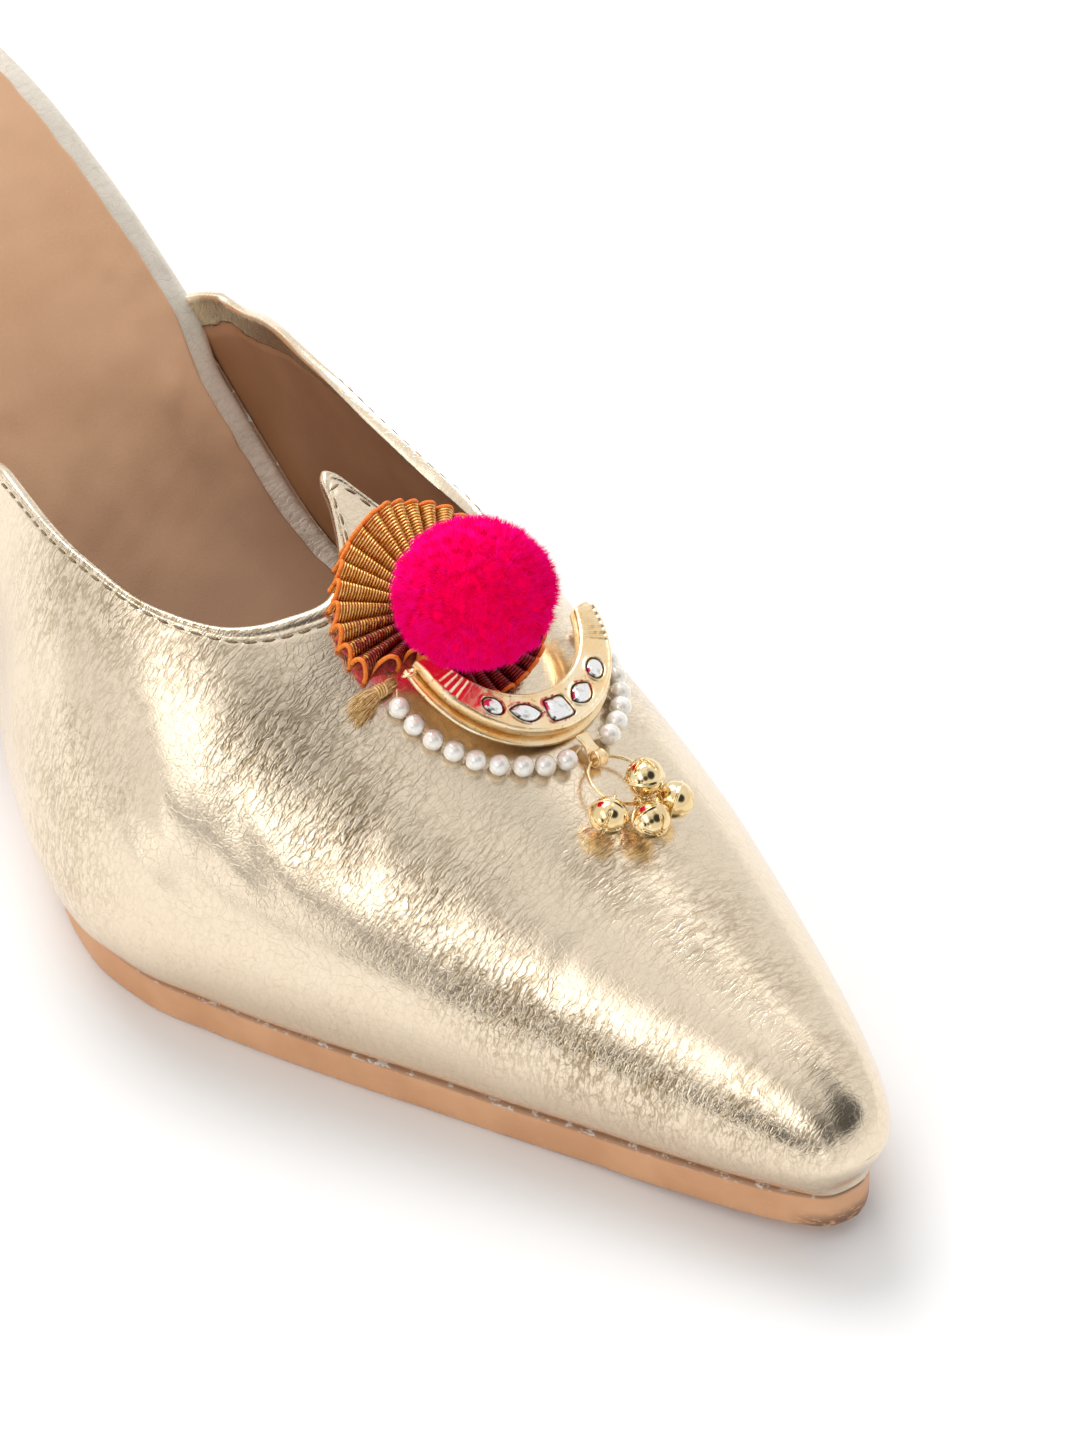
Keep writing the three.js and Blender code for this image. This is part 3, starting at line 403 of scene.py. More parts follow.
def makeStudio():
    world = bpy.data.worlds.new("studio")
    bpy.context.scene.world = world
    world.use_nodes = True
    nodes, links = world.node_tree.nodes, world.node_tree.links
    place = nodes.new("ShaderNodeTexCoord")
    wall = None
    for azimuth, height, full, end, level in lightPlan["patches"]:
        facing = nodes.new("ShaderNodeVectorMath")
        facing.operation = "DOT_PRODUCT"
        facing.inputs[1].default_value = wayTo(azimuth, height)
        links.new(place.outputs["Generated"], facing.inputs[0])
        fade = nodes.new("ShaderNodeMapRange")
        fade.interpolation_type = "SMOOTHSTEP"
        ends = (math.cos(math.radians(end)), math.cos(math.radians(full)), lightPlan["sky"], level)
        for socket, value in zip(("From Min", "From Max", "To Min", "To Max"), ends):
            fade.inputs[socket].default_value = value
        links.new(facing.outputs["Value"], fade.inputs["Value"])
        if wall:
            links.new(wall.outputs["Result"], fade.inputs["To Min"])
        wall = fade
    links.new(wall.outputs["Result"], nodes["Background"].inputs["Color"])


def makeStage():
    half = lightPlan["floorHalf"]
    mesh = bpy.data.meshes.new("floor")
    corners = [(-half, -half, 0), (half, -half, 0), (half, half, 0), (-half, half, 0)]
    mesh.from_pydata(corners, [], [(0, 1, 2, 3)])
    floor = bpy.data.objects.new("floor", mesh)
    bpy.context.scene.collection.objects.link(floor)
    floor.data.materials.append(Look("floorPaper", Roughness=0.85).wear(base=lightPlan["floor"]))
    for name, azimuth, height, distance, width, tall, power in lightPlan["boxes"]:
        data = bpy.data.lights.new(name, "AREA")
        data.shape, data.size, data.size_y, data.energy = "RECTANGLE", width, tall, power
        lamp = bpy.data.objects.new(name, data)
        bpy.context.scene.collection.objects.link(lamp)
        lamp.location = wayTo(azimuth, height) * distance + Vector(lightPlan["aim"])
        lamp.rotation_euler = wayTo(azimuth, height).to_track_quat("Z", "Y").to_euler()


makeCamera()
makeStudio()
makeStage()
bpy.context.scene.view_settings.view_transform = "Standard"
print("camera, floor and light made")


def blots(points, size, seed):
    # value noise from -1 to 1: eight lattice corners round each point blended by smooth steps
    lattice = np.random.RandomState(seed).uniform(-1, 1, (32, 32, 32))
    spot = np.asarray(points, float) / size + 1000
    cell = np.floor(spot).astype(int)
    part = smooth(spot - cell)
    total = 0
    for corner in range(8):
        step = np.array([corner & 1, corner >> 1 & 1, corner >> 2])
        weight = np.prod(np.where(step == 1, part, 1 - part), -1)
        total = total + weight * lattice[tuple(np.moveaxis((cell + step) % 32, -1, 0))]
    return total


# Leather with pressed foil: faint pebbles, fine wrinkles across the foot with painted shade in their valleys,
# and worn flecks.
# The first coordinate of its uv map is how strongly the leather is wrinkled there, the second is
# millimetres from the edge, below 0 on the band turned in behind it
def foilLeather(name, tone, depth=1.0):
    look = Look(name, Metallic=tone["metal"])
    wrinkled = look.uv("X")
    fine, broad = look.noise(0.30, 3, 0.6), look.noise(9, 3)
    drift = look.node("ShaderNodeTexNoise", {}, {"Vector": look.place, "Scale": 1 / (2.2 * mm)}, "Color")
    soft = look.node("ShaderNodeVectorMath", {"operation": "SCALE"}, {0: drift, "Scale": mm})
    bent = look.node("ShaderNodeVectorMath", {"operation": "ADD"}, {0: look.place, 1: soft})
    crackle = look.cells(1.4, "DISTANCE_TO_EDGE", bent).between(0.0, 0.05)
    pebbles = look.cells(0.62, "DISTANCE_TO_EDGE", bent).between(0.0, 0.45)
    across = look.stretched((0, 0, 0.12), (0.2, 1, 0.3), bent)
    contour = (look.noise(0.95, 2, 0.5, across) - 0.5).size()
    hair = (look.noise(0.55, 2, 0.5, across) - 0.47).size().between(0.0, 0.07)
    lines, cushions = contour.between(0.0, 0.085), contour.between(0.0, 0.26)
    flecks = (broad * 0.55 + fine * 0.45).between(0.54, 0.70)
    base = look.mix(flecks * 0.15, tone["foil"], tone["pale"])
    # painted shade: the dark crack colour is laid into the valleys of the wrinkle lines and hair wrinkles;
    # the crackle below is the foil's own cracks
    base = look.mix((1 - lines) * wrinkled * 0.9, base, tone["crackAndCreaseShade"])
    base = look.mix((1 - hair) * wrinkled * 0.7, base, tone["crackAndCreaseShade"])
    base = look.mix((1 - crackle) * (0.16 + wrinkled * 0.2), base, tone["crackAndCreaseShade"])
    turnedIn = (0 - look.uv("Y")).between(0.5, 1.4)
    base = look.mix(turnedIn * 0.8, base, (0.42, 0.33, 0.22))
    rough = fine * 0.05 + broad * 0.06 + tone["rough"]
    heights = [(crackle, 0.007), (pebbles, 0.006), (lines * wrinkled, 0.034),
               (cushions * wrinkled, 0.011), (hair * wrinkled, 0.012)]
    return look.wear(base, rough, None, [(height, deep * depth) for height, deep in heights])


# the dark tone marks the foil's cracks and is painted as shade into its crease valleys
vampTone = {"foil": (0.84, 0.71, 0.54), "pale": (0.93, 0.87, 0.77), "crackAndCreaseShade": (0.30, 0.21, 0.11),
            "rough": 0.15, "metal": 0.95}
rimTone = {"foil": (0.86, 0.79, 0.68), "pale": (0.92, 0.87, 0.79), "crackAndCreaseShade": (0.42, 0.33, 0.23),
           "rough": 0.36, "metal": 0.6}
vampFoil = foilLeather("vampFoil", vampTone)
rimFoil = foilLeather("rimFoil", rimTone, 1.2)
heelFoil = foilLeather("heelFoil", {**vampTone, "rough": 0.16})


def brownLining():
    look = Look("brownLining", Roughness=0.5)
    fine, broad = look.noise(0.5, 3, 0.6), look.noise(14, 2)
    base = look.mix(broad.between(0.3, 0.7), (0.33, 0.15, 0.066), (0.41, 0.20, 0.095))
    return look.wear(base, fine * 0.15 + 0.36, None, [(fine, 0.03)])


def tanSuede():
    look = Look("tanSuede")
    nap, broad = look.noise(0.35, 4, 0.7), look.noise(18, 2)
    # painted shade: darker towards the front, where the vamp shades the sock
    back = look.node("ShaderNodeSeparateXYZ", {}, {0: look.place}, "Y")
    pastPaintedShade = (back + (broad - 0.5) * 0.03).between(0.018, 0.056)
    base = look.mix(broad.between(0.3, 0.7), (0.60, 0.335, 0.185), (0.66, 0.385, 0.22))
    base = look.mix(nap.between(0.35, 0.7) * 0.3, base, (0.68, 0.43, 0.27))
    base = look.mix((1 - pastPaintedShade) * 0.75, base, (0.26, 0.14, 0.078))
    return look.wear(base, nap * 0.1 + 0.75, None, [(nap, 0.05)])


def peachSole():
    # uv: share of the sole's edge height, and millimetres from the toe
    look = Look("peachSole")
    rise, back = look.uv("X"), look.uv("Y")
    grain, broad = look.noise(0.4, 3, 0.6), look.noise(11, 3)
    scuff = look.noise(1.3, 4, 0.75, look.stretched((0, 0, 0), (1, 0.35, 2.2)))
    base = look.mix(broad.between(0.3, 0.7), (0.60, 0.30, 0.145), (0.70, 0.38, 0.20))
    base = look.mix(scuff.between(0.6, 0.78) * 0.6, base, (0.74, 0.48, 0.32))
    glue = look.noise(0.9, 3, 0.7, look.stretched((0, 0, 0), (0.5, 0.4, 1)))
    seam = rise.between(0.90, 0.97) * 0.75
    base = look.mix(seam * 0.75, base, (0.20, 0.11, 0.07))
    base = look.mix(seam * glue.between(0.54, 0.62), base, (0.72, 0.68, 0.63))
    # painted shade: dark patches low on the sole's edge at the toe
    paintedToeShade = (1 - back.between(2.0, 6.0)) * (1 - rise.between(0.15, 0.6)) * scuff.between(0.38, 0.5)
    base = look.mix(paintedToeShade * 0.85, base, (0.14, 0.06, 0.03))
    return look.wear(base, grain * 0.2 + 0.42, None, [(grain, 0.03), (scuff, 0.05), (glue * seam, 0.12)])


def brownRubber():
    look = Look("brownRubber")
    grain = look.noise(0.5, 3, 0.6)
    base = look.mix(grain.between(0.3, 0.7), (0.055, 0.033, 0.02), (0.085, 0.052, 0.033))
    return look.wear(base, grain * 0.15 + 0.6, None, [(grain, 0.08)])


# Upper: outer leather, rolled edge and turned-in band as one sheet round the wall
upperPlan = {
    "columns": 320, "rows": 120, "edgeRows": 22, "edgeZone": 6.4, "rollRows": 8, "noseShare": 0.3,
    "band": 5.0, "bandWave": 0.55, "leather": 0.9, "tucked": 4.2, "liningGap": 0.06, "liningBack": 0.14,
    "groove": (1.9, 0.30, 0.16), "stitchTrough": (2.9, 0.45, 0.10),
    "uneven": [(26, 0.16, 3), (11, 0.07, 5)],
}
# Creases: from (share of length, phi) to (share, phi), depth and width in millimetres
creases = [
    (0.36, -0.62, 0.44, -0.40, 0.22, 2.2), (0.33, -0.70, 0.42, -0.50, 0.18, 2.0),
    (0.45, -0.66, 0.50, -0.52, 0.20, 2.4), (0.30, -0.60, 0.37, -0.38, 0.12, 1.8),
    (0.25, -0.55, 0.30, -0.25, 0.10, 2.0), (0.20, -0.60, 0.24, -0.30, 0.10, 1.8),
    (0.50, -0.80, 0.56, -0.66, 0.22, 2.6), (0.40, -0.78, 0.48, -0.72, 0.16, 2.2),
    (0.15, -0.50, 0.17, -0.20, 0.08, 1.6), (0.27, 0.30, 0.31, 0.55, 0.10, 2.0),
    (0.36, 0.45, 0.42, 0.62, 0.16, 2.2), (0.43, 0.62, 0.49, 0.74, 0.18, 2.4),
]
# Wrinkled patches: share of the length, phi, radius in millimetres and strength
patches = [
    (0.52, -0.43, 14, 0.8), (0.47, -0.34, 12, 0.9), (0.42, -0.31, 11, 0.8), (0.36, -0.32, 13, 1.0),
    (0.31, -0.34, 13, 1.0), (0.25, -0.40, 12, 0.9), (0.21, -0.48, 11, 0.9), (0.18, -0.55, 10, 1.0),
    (0.14, -0.58, 10, 1.0), (0.10, -0.57, 10, 1.0), (0.05, -0.51, 9, 0.9), (0.02, -0.44, 7, 0.6),
    (0.24, -0.22, 10, 0.45), (0.19, -0.01, 11, 0.7), (0.14, 0.04, 11, 0.6), (0.09, 0.05, 9, 0.5),
    (0.04, -0.02, 8, 0.5), (0.46, -0.60, 16, 0.6), (0.45, -0.75, 14, 0.5), (0.30, 0.42, 14, 0.5),
    (0.42, 0.62, 16, 0.7),
]


def wrinkling(points):
    # strength of the wrinkles: the patches, each fading as exp(-1.6 away squared), over a faint ground
    strength = 0.07 + 0.05 * blots(points, 8, 9)
    uneven = 0.85 + 0.25 * blots(points, 5, 8)
    for at, phi, radius, share in patches:
        away = np.linalg.norm(points - vamp(at, phi), axis=-1) / radius
        strength = np.maximum(strength, share * uneven * np.exp(-1.6 * away ** 2))
    return np.clip(strength, 0, 1)


def easedShares(count, start):
    # squared near the nose, even further back
    s = np.linspace(0, 1, count + 1)
    return np.where(s < start, s * s / (2 * start), s - start / 2) / (1 - start / 2)


def fromLastRow(grid):
    # distance of each point of a grid from the grid's last row, along its own column
    lengths = np.linalg.norm(np.diff(grid, axis=0), axis=-1)
    return np.concatenate([np.cumsum(lengths[::-1], 0)[::-1], np.zeros((1, grid.shape[1]))])


def upperSheet(columns, shares, trim):
    # grid of the outer face: shares run from the nose to the throat line less trim in millimetres
    even = np.linspace(-1, 1, columns + 1)
    u = even - 0.16 * np.sin(even * math.pi)

    def at(share):
        return vamp(throatAt(u) * share, u + (throatPhi(u) - u) * share)
    reach = np.linalg.norm(at(1.0) - at(0.98), axis=-1) / 0.02
    grid = at(shares(1 - trim / reach, reach))
    down, across = np.gradient(grid, axis=0), np.gradient(grid, axis=1)
    normal = unit(np.cross(across, down))
    normal[0] = (0, -1, 0)
    return u, grid, normal, fromLastRow(grid) + trim


def creaseRelief(points):
    # each crease is a line on the last: a trough along it with a lower ridge on both its sides
    relief = np.zeros(points.shape[:-1])
    steps = np.linspace(0, 1, 28)
    for at0, phi0, at1, phi1, depth, width in creases:
        bow = 0.012 * np.sin(math.pi * steps)
        line = vamp(at0 + (at1 - at0) * steps + bow, phi0 + (phi1 - phi0) * steps)
        away = np.linalg.norm(points[..., None, :] - line, axis=-1)
        nearest = away.argmin(-1)
        distance = np.take_along_axis(away, nearest[..., None], -1)[..., 0] / width
        taper = np.sin(math.pi * np.clip(steps[nearest], 0.02, 0.98))
        relief += depth * taper * (0.45 * np.exp(-((distance - 1.7) / 0.8) ** 2) - np.exp(-distance ** 2))
    return relief


def makeUpper():
    plan, wall = upperPlan, shoe["wall"]
    main = easedShares(plan["rows"], plan["noseShare"])

    def shares(top, reach):
        low = 1 - plan["edgeZone"] / reach
        edge = np.linspace(0, 1, plan["edgeRows"] + 1)[1:, None]
        return np.concatenate([main[:, None] * low, low + (top - low) * edge])
    u, grid, normal, fromEdge = upperSheet(plan["columns"], shares, wall / 2)
    relief = creaseRelief(grid)
    for size, depth, seed in plan["uneven"]:
        relief += depth * blots(grid, size, seed)
    for spot, width, depth in (plan["groove"], plan["stitchTrough"]):
        relief -= depth * np.exp(-((fromEdge - spot) / width) ** 2)
    fade = smooth(np.linalg.norm(grid - grid[0], axis=-1), 0, 6) * smooth(1 - np.abs(u), 0, 0.04)
    outer = grid + normal * (relief * fade)[..., None]
    ragged = plan["band"] + plan["bandWave"] * blots(grid[-1], 2.5, 7)
    thick = np.where(fromEdge < ragged, wall, plan["leather"]) * (np.abs(u) < 1)
    inner = grid - normal * thick[..., None]
    ends = np.abs(u) == 1
    inner[:, ends] = outer[:, ends]
    middle, half = (outer[-1] + inner[-1]) / 2, (outer[-1] - inner[-1]) / 2
    forward = unit(grid[-1] - grid[-3]) * np.linalg.norm(half, axis=-1, keepdims=True)
    turn = np.linspace(0, math.pi, plan["rollRows"] + 2)[1:-1, None, None]
    roll = middle + half * np.cos(turn) + forward * np.sin(turn)
    rows = np.concatenate([outer, roll, inner[::-1]])
    edge = np.concatenate([fromEdge, np.zeros(roll.shape[:2]), -fromEdge[::-1]])
    folded = 0.5 * smooth(edge, 3, 0) * (edge != 0)
    uv = np.stack([np.clip(wrinkling(rows) + folded, 0, 1), edge], -1)
    makePiece("upper_leather", rows, gridQuads(*rows.shape[:2]), vampFoil, slot="foil_leather",
              replaces=["upper"], uv=uv)

    # Lining: a thinner sheet inside, its top tucked under the turned-in band
    lined = easedShares(70, plan["noseShare"])
    u, grid, normal, _ = upperSheet(200, lambda top, reach: lined[:, None] * top, plan["tucked"])
    thickness = np.where(np.abs(u) < 1, 1.0, 0)[None, :, None]
    front = grid - normal * (plan["leather"] + plan["liningGap"]) * thickness
    back = grid - normal * (wall - plan["liningBack"]) * thickness
    rows = np.concatenate([front, back[::-1]])
    makePiece("upper_lining", rows, gridQuads(*rows.shape[:2]), brownLining(), slot="foil_leather")


def throatLine(distance, end):
    # points on the surface at a distance from the throat edge, with their outward direction
    u = np.linspace(-end, end, 900)
    shares = np.linspace(0.55, 1, 160)[:, None]
    grid = vamp(throatAt(u) * shares, u + (throatPhi(u) - u) * shares)
    fromEdge = fromLastRow(grid)
    row = np.clip((fromEdge > distance).sum(0) - 1, 0, len(shares) - 2)
    column = np.arange(len(u))
    near, far = fromEdge[row + 1, column], fromEdge[row, column]
    part = ((distance - near) / (far - near))[:, None]
    spots = grid[row + 1, column] * (1 - part) + grid[row, column] * part
    normal = unit(np.cross(np.gradient(grid, axis=1), np.gradient(grid, axis=0)))[row, column]
    return spots, normal


def alongPath(spots, pitch, normal):
    # the path and its outward direction read again at even steps
    length = np.concatenate([[0], np.cumsum(np.linalg.norm(np.diff(spots, axis=0), axis=-1))])
    steps = np.arange(pitch / 2, length[-1], pitch)
    return [np.stack([np.interp(steps, length, line) for line in values.T], -1) for values in (spots, normal)]


def capsules(centres, along, normal, length, radius, sides=6, rings=5):
    # short round-ended threads: a circle carried along each stitch, drawn in at both its ends
    t = np.linspace(-1, 1, rings)
    across = unit(np.cross(normal, along))
    swell = np.sqrt(np.clip(1 - np.abs(t) ** 4, 0, 1))[None, :, None, None]
    angle = around(sides)[None, None, :, None]
    ring = across[:, None, None] * np.cos(angle) + normal[:, None, None] * np.sin(angle) * 0.8
    lift = (normal[:, None] * (1 - t[None, :, None] ** 2) * radius * 0.5)[:, :, None]
    run = along[:, None, None] * (t[None, :, None, None] * length / 2)
    points = centres[:, None, None] + run + ring * swell * radius + lift
    quads = gridQuads(rings, sides, wrapColumns=True)
    faces = quads[None] + np.arange(len(centres))[:, None, None] * rings * sides
    return points, faces.reshape(-1, 4)


stitchPlan = {"fromEdge": 2.9, "end": 0.985, "pitch": 2.5, "length": 1.9, "radius": 0.17, "lift": 0.02}


def threadLook():
    look = Look("stitchThread")
    twist = look.noise(0.25, 2)
    base = look.mix(twist.between(0.35, 0.65), (0.14, 0.09, 0.05), (0.34, 0.24, 0.13))
    return look.wear(base, twist * 0.2 + 0.5, None, [(twist, 0.03)])


def makeStitches():
    plan = stitchPlan
    spots, normal = throatLine(plan["fromEdge"], plan["end"])
    spots, normal = alongPath(spots, plan["pitch"], normal)
    along, normal = unit(np.gradient(spots, axis=0)), unit(normal)
    points, faces = capsules(spots + normal * plan["lift"], along, normal, plan["length"], plan["radius"])
    makePiece("throat_stitches", points, faces, threadLook(), slot="foil_leather")


makeUpper()
makeStitches()
print("upper, lining and stitches made")


# Footbed: lines that follow the sole outline at a distance inside it
def insetLine(key, side, inset):
    small = 0.01
    ahead, behind = np.minimum(math.pi / 2, key + small), key - small

    def spot(k):
        at = np.sin(k) ** 2
        return np.stack([edgeX(at, side), at * shoe["length"]], -1)
    along = unit(spot(ahead) - spot(behind))
    return spot(key) + side * np.stack([-along[..., 1] * inset, along[..., 0] * inset], -1)


boardShares = curveThrough([0, 0.03, 0.14, 0.675, 0.715, 1], [1, 1, 0, 0, -1, -1])


def boardInset(at):
    share = boardShares(at)
    more, less = footbed["toeInset"] - footbed["inset"], footbed["inset"] - footbed["heelInset"]
    return footbed["inset"] + np.maximum(0, share) * more + np.minimum(0, share) * less


def footLayer(start, stations, section, inset, base):
    # rings across the foot: the section's [inset, height] rows up the outer side, back down the inner
    key = np.linspace(endKey(start), math.pi / 2, stations)[:, None]
    at = np.sin(key) ** 2
    extra, height = section[:, 0][None], section[:, 1][None]
    halves = []
    for side in (-1, 1):
        spot = insetLine(np.broadcast_to(key, (stations, len(section))), side, inset(at) + extra)
        halves.append(np.concatenate([spot, (base(spot[..., 1] / shoe["length"]) + height)[..., None]], -1))
    return np.concatenate([halves[0], halves[1][:, ::-1]], 1)


def ringFaces(rings):
    # walls between the rings, and a lid on the first ring
    return lidded(rings)[1][:2]


def boardBase(at):
    return soleTop(at) + shoe["gap"]


def roundedSection(points, bend):
    # corner rows [inset, height, radius] turned into a line with quarter-round corners
    line = [points[0][:2]]
    for before, here, after in zip(points, points[1:], points[2:]):
        corner = np.array(here[:2], float)
        a, b = np.array(before[:2]) - corner, np.array(after[:2]) - corner
        first, second = corner + unit(a) * here[2], corner + unit(b) * here[2]
        for t in np.linspace(0, 1, bend):
            line.append(tuple((1 - t) ** 2 * first + 2 * t * (1 - t) * corner + t * t * second))
    line.append(points[-1][:2])
    return np.array(line)


def makeFootbed():
    thick = footbed["board"]
    shape = roundedSection([(2.5, 0, 0), (0.15, 0, 0.4), (0, thick, 1.3), (7.5, thick - 0.15, 0)], 12)
    fill = np.linspace(0, 1, 10)[1:, None]
    shape = np.concatenate([shape[:-1], shape[-2] + (shape[-1] - shape[-2]) * fill])
    rings = footLayer(0.025, 300, shape, boardInset, boardBase)
    crinkle = 0.05 * blots(rings * [1, 0.55, 1], 1.1, 11) + 0.05 * blots(rings, 3.0, 12)
    lifted = smooth(rings[..., 2] - boardBase(rings[..., 1] / shoe["length"]), 0.2, 1.0)
    rings[..., 2] += np.minimum(crinkle * lifted, 0.12)
    worn = smooth(rings[..., 1], 165, 110)
    uv = np.stack([0.10 + 0.8 * worn + 0.2 * worn * blots(rings, 3, 13), rings[..., 1]], -1)
    makePiece("insole_rim", rings, ringFaces(rings), rimFoil, slot="foil_leather",
              replaces=["insole_board"], uv=uv)

    sock = footbed["sock"]
    shape = roundedSection([(3, 0, 0), (0.1, 0, 0.2), (0, sock, 0.75), (9, sock + 0.12, 0)], 9)
    shape = np.concatenate([shape[:-1], shape[-2] + (shape[-1] - shape[-2]) * fill])
    rings = footLayer(0.075, 260, shape, lambda at: boardInset(at) + footbed["rim"],
                      lambda at: boardBase(at) + thick + shoe["gap"] * 0.3)
    rings[..., :2] += 0.25 * np.stack([blots(rings, 2.6, 21), blots(rings, 2.6, 22)], -1)
    makePiece("sock_lining", rings, ringFaces(rings), tanSuede(), slot="sock_suede",
              replaces=["insole_sock"])


def makeOutsole():
    breast = 1 - (heelPlan["seat"] + shoe["gap"]) / shoe["length"]
    key = np.linspace(0, endKey(breast), 280)[:, None]
    at = np.sin(key) ** 2
    # share of the edge's height, and how far the edge is drawn in there
    rise = np.array([0, 0.02, 0.06, 0.12, 0.2, 0.35, 0.5, 0.65, 0.8, 0.9, 0.96, 1.0])[None]
    pull = np.array([1.0, 0.55, 0.25, 0.1, 0.03, 0, 0, 0.03, 0.08, 0.16, 0.3, 0.6])[None]
    thick = soleTop(at) - treadZ(at)
    width = (edgeX(at, 1) - edgeX(at, -1)) / 2
    halves = []
    for side in (-1, 1):
        x = edgeX(at, side) - side * np.minimum(pull * 0.9, width)
        halves.append(np.stack(np.broadcast_arrays(x, at * shoe["length"], treadZ(at) + rise * thick), -1))
    rings = np.concatenate([halves[0], halves[1][:, ::-1]], 1)
    rings[..., 0] += 0.05 * blots(rings, 2.2, 31) * smooth(rings[..., 1], 1, 6)
    walls, _, lid = lidded(rings)[1]
    halfRise = np.broadcast_to(rise, (len(key), rise.shape[1]))
    uv = np.stack([np.concatenate([halfRise, halfRise[:, ::-1]], 1), rings[..., 1]], -1)
    makePiece("outsole_leather", rings, [walls, lid], peachSole(), slot="sole_leather",
              replaces=["outsole"], uv=uv)


# Heel: the seat's outline drawn in and pulled back down to the tip
taperRows = {"width": [0, 0.3, 0.62, 0.88, 1], "front": [0, 0.34, 0.66, 0.92, 1],
             "back": [0, 0.12, 0.35, 0.7, 1]}
taper = {name: curveThrough([0, 0.12, 0.3, 0.6, 1], row) for name, row in taperRows.items()}


def heelRings(down, bottom, arc=50, across=16):
    down = np.asarray(down, float)[:, None]
    outer, inner = edgeX(heelPlan["widest"], -1), edgeX(heelPlan["widest"], 1)
    middle = (outer + inner) / 2
    scale = 1 + taper["width"](down) * (heelPlan["tipWidth"] / (inner - outer) - 1)
    front = shoe["length"] - heelPlan["seat"] + shoe["gap"]
    frontY = front + taper["front"](down) * (heelPlan["seat"] - heelPlan["tipLength"] - heelPlan["setback"])
    backY = shoe["length"] - taper["back"](down) * heelPlan["setback"]
    key = np.linspace(endKey(front / shoe["length"]), math.pi / 2, arc)
    at = np.sin(key) ** 2
    xs = np.concatenate([edgeX(at, -1), edgeX(at[::-1][1:], 1)])
    ats = np.concatenate([at, at[::-1][1:]])
    share = np.linspace(0, 1, across + 2)[1:-1]
    xs = np.concatenate([xs, xs[-1] + (xs[0] - xs[-1]) * share])[None]
    ats = np.concatenate([ats, np.full(across, at[0])])[None]
    back = (ats * shoe["length"] - front) / (shoe["length"] - front)
    seat = soleTop(ats)
    x, y = middle + (xs - middle) * scale, frontY + back * (backY - frontY)
    return np.stack(np.broadcast_arrays(x, y, seat + (bottom - seat) * down), -1)


def makeHeel():
    bottom = heelPlan["topPiece"] + shoe["gap"]
    rings = heelRings(np.linspace(0, 1, 60) ** 1.3, bottom)
    rings[..., :2] += (0.06 * blots(rings, 7, 41))[..., None]
    uv = np.stack([0.25 + 0.2 * blots(rings, 6, 42), rings[..., 2]], -1)
    makePiece("heel_cover", *lidded(rings), heelFoil, slot="heel_foil", replaces=["heel"], uv=uv)
    edge = heelRings([1.0], 0.0)[0]
    middle = edge.mean(0)
    layers = []
    # height, and how far the edge is drawn in there
    for z, pull in ((0, 0.6), (0.15, 0.25), (0.5, 0.05), (2, 0), (3.5, 0), (3.85, 0.15), (4, 0.5)):
        ring = edge - unit((edge - middle) * [1, 1, 0]) * pull
        ring[:, 2] = z
        layers.append(ring)
    makePiece("heel_tip", *lidded(np.array(layers)), brownRubber(), slot="heel_rubber",
              replaces=["heel_top_piece"])


makeFootbed()
makeOutsole()
makeHeel()
print("footbed, sole and heel made")


# Ornament: its plane touches the vamp; a runs to the inner side, b to the toe, h off the leather
ornament = {"at": 77.5 / 240, "phi": 0.14}


def ornamentPlane():
    at, phi, step = ornament["at"], ornament["phi"], 1e-4
    byAt = vamp(at + step, phi) - vamp(at - step, phi)
    byPhi = vamp(at, phi + step) - vamp(at, phi - step)
    axisH = unit(np.cross(byPhi, byAt))
    axisH = axisH * np.sign(axisH[2])
    axisA = unit(np.cross([0, 1, 0], axisH))
    return vamp(at, phi), axisA, np.cross(axisA, axisH), axisH


planeOrigin, axisA, axisB, axisH = ornamentPlane()


def onPlane(a, b, h):
    a, b, h = np.broadcast_arrays(a, b, h)
    return planeOrigin + a[..., None] * axisA + b[..., None] * axisB + h[..., None] * axisH


def leatherHeight(a, b):
    # height of the leather over the plane at (a, b), by Newton steps on the vamp's own two shares
    a, b = np.broadcast_arrays(np.asarray(a, float), np.asarray(b, float))
    at = ornament["at"] - 0.92 * b / shoe["length"]
    phi = ornament["phi"] + a / shoe["ballWidth"]
    axes, step = np.stack([axisA, axisB, axisH], 1), 1e-4
    for _ in range(12):
        here = (vamp(at, phi) - planeOrigin) @ axes
        byAt = ((vamp(at + step, phi) - planeOrigin) @ axes - here) / step
        byPhi = ((vamp(at, phi + step) - planeOrigin) @ axes - here) / step
        det = byAt[..., 0] * byPhi[..., 1] - byAt[..., 1] * byPhi[..., 0]
        da, db = a - here[..., 0], b - here[..., 1]
        at = np.clip(at + (da * byPhi[..., 1] - db * byPhi[..., 0]) / det, 0.05, 0.6)
        phi = np.clip(phi + (byAt[..., 0] * db - byAt[..., 1] * da) / det, -0.78, 0.78)
    return ((vamp(at, phi) - planeOrigin) @ axes)[..., 2]


# Tubes and joined meshes
def joined(parts):
    # closed shapes as one mesh, each turned round where it is inside out
    points, faces, start = [], [], 0
    for spots, groups in parts:
        spots = np.asarray(spots, float).reshape(-1, 3)
        points.append(spots)
        way = -1 if signedVolume(spots, groups) < 0 else 1
        faces += [group[:, ::way] + start for group in groups]
        start += len(spots)
    return np.concatenate(points), faces


def tube(path, radius, above, sides=8, closed=False):
    # a circle carried along the path, level with the direction above
    step = np.roll(path, -1, 0) - np.roll(path, 1, 0) if closed else np.gradient(path, axis=0)
    across = unit(np.cross(unit(step), above))
    rise = np.cross(across, unit(step))
    turn = around(sides)[None, :, None]
    wide = np.asarray(radius, float).reshape(-1, 1, 1) if np.ndim(radius) else radius
    rings = path[:, None] + wide * (across[:, None] * np.cos(turn) + rise[:, None] * np.sin(turn))
    return (rings, [gridQuads(len(path), sides, True, True)]) if closed else lidded(rings)


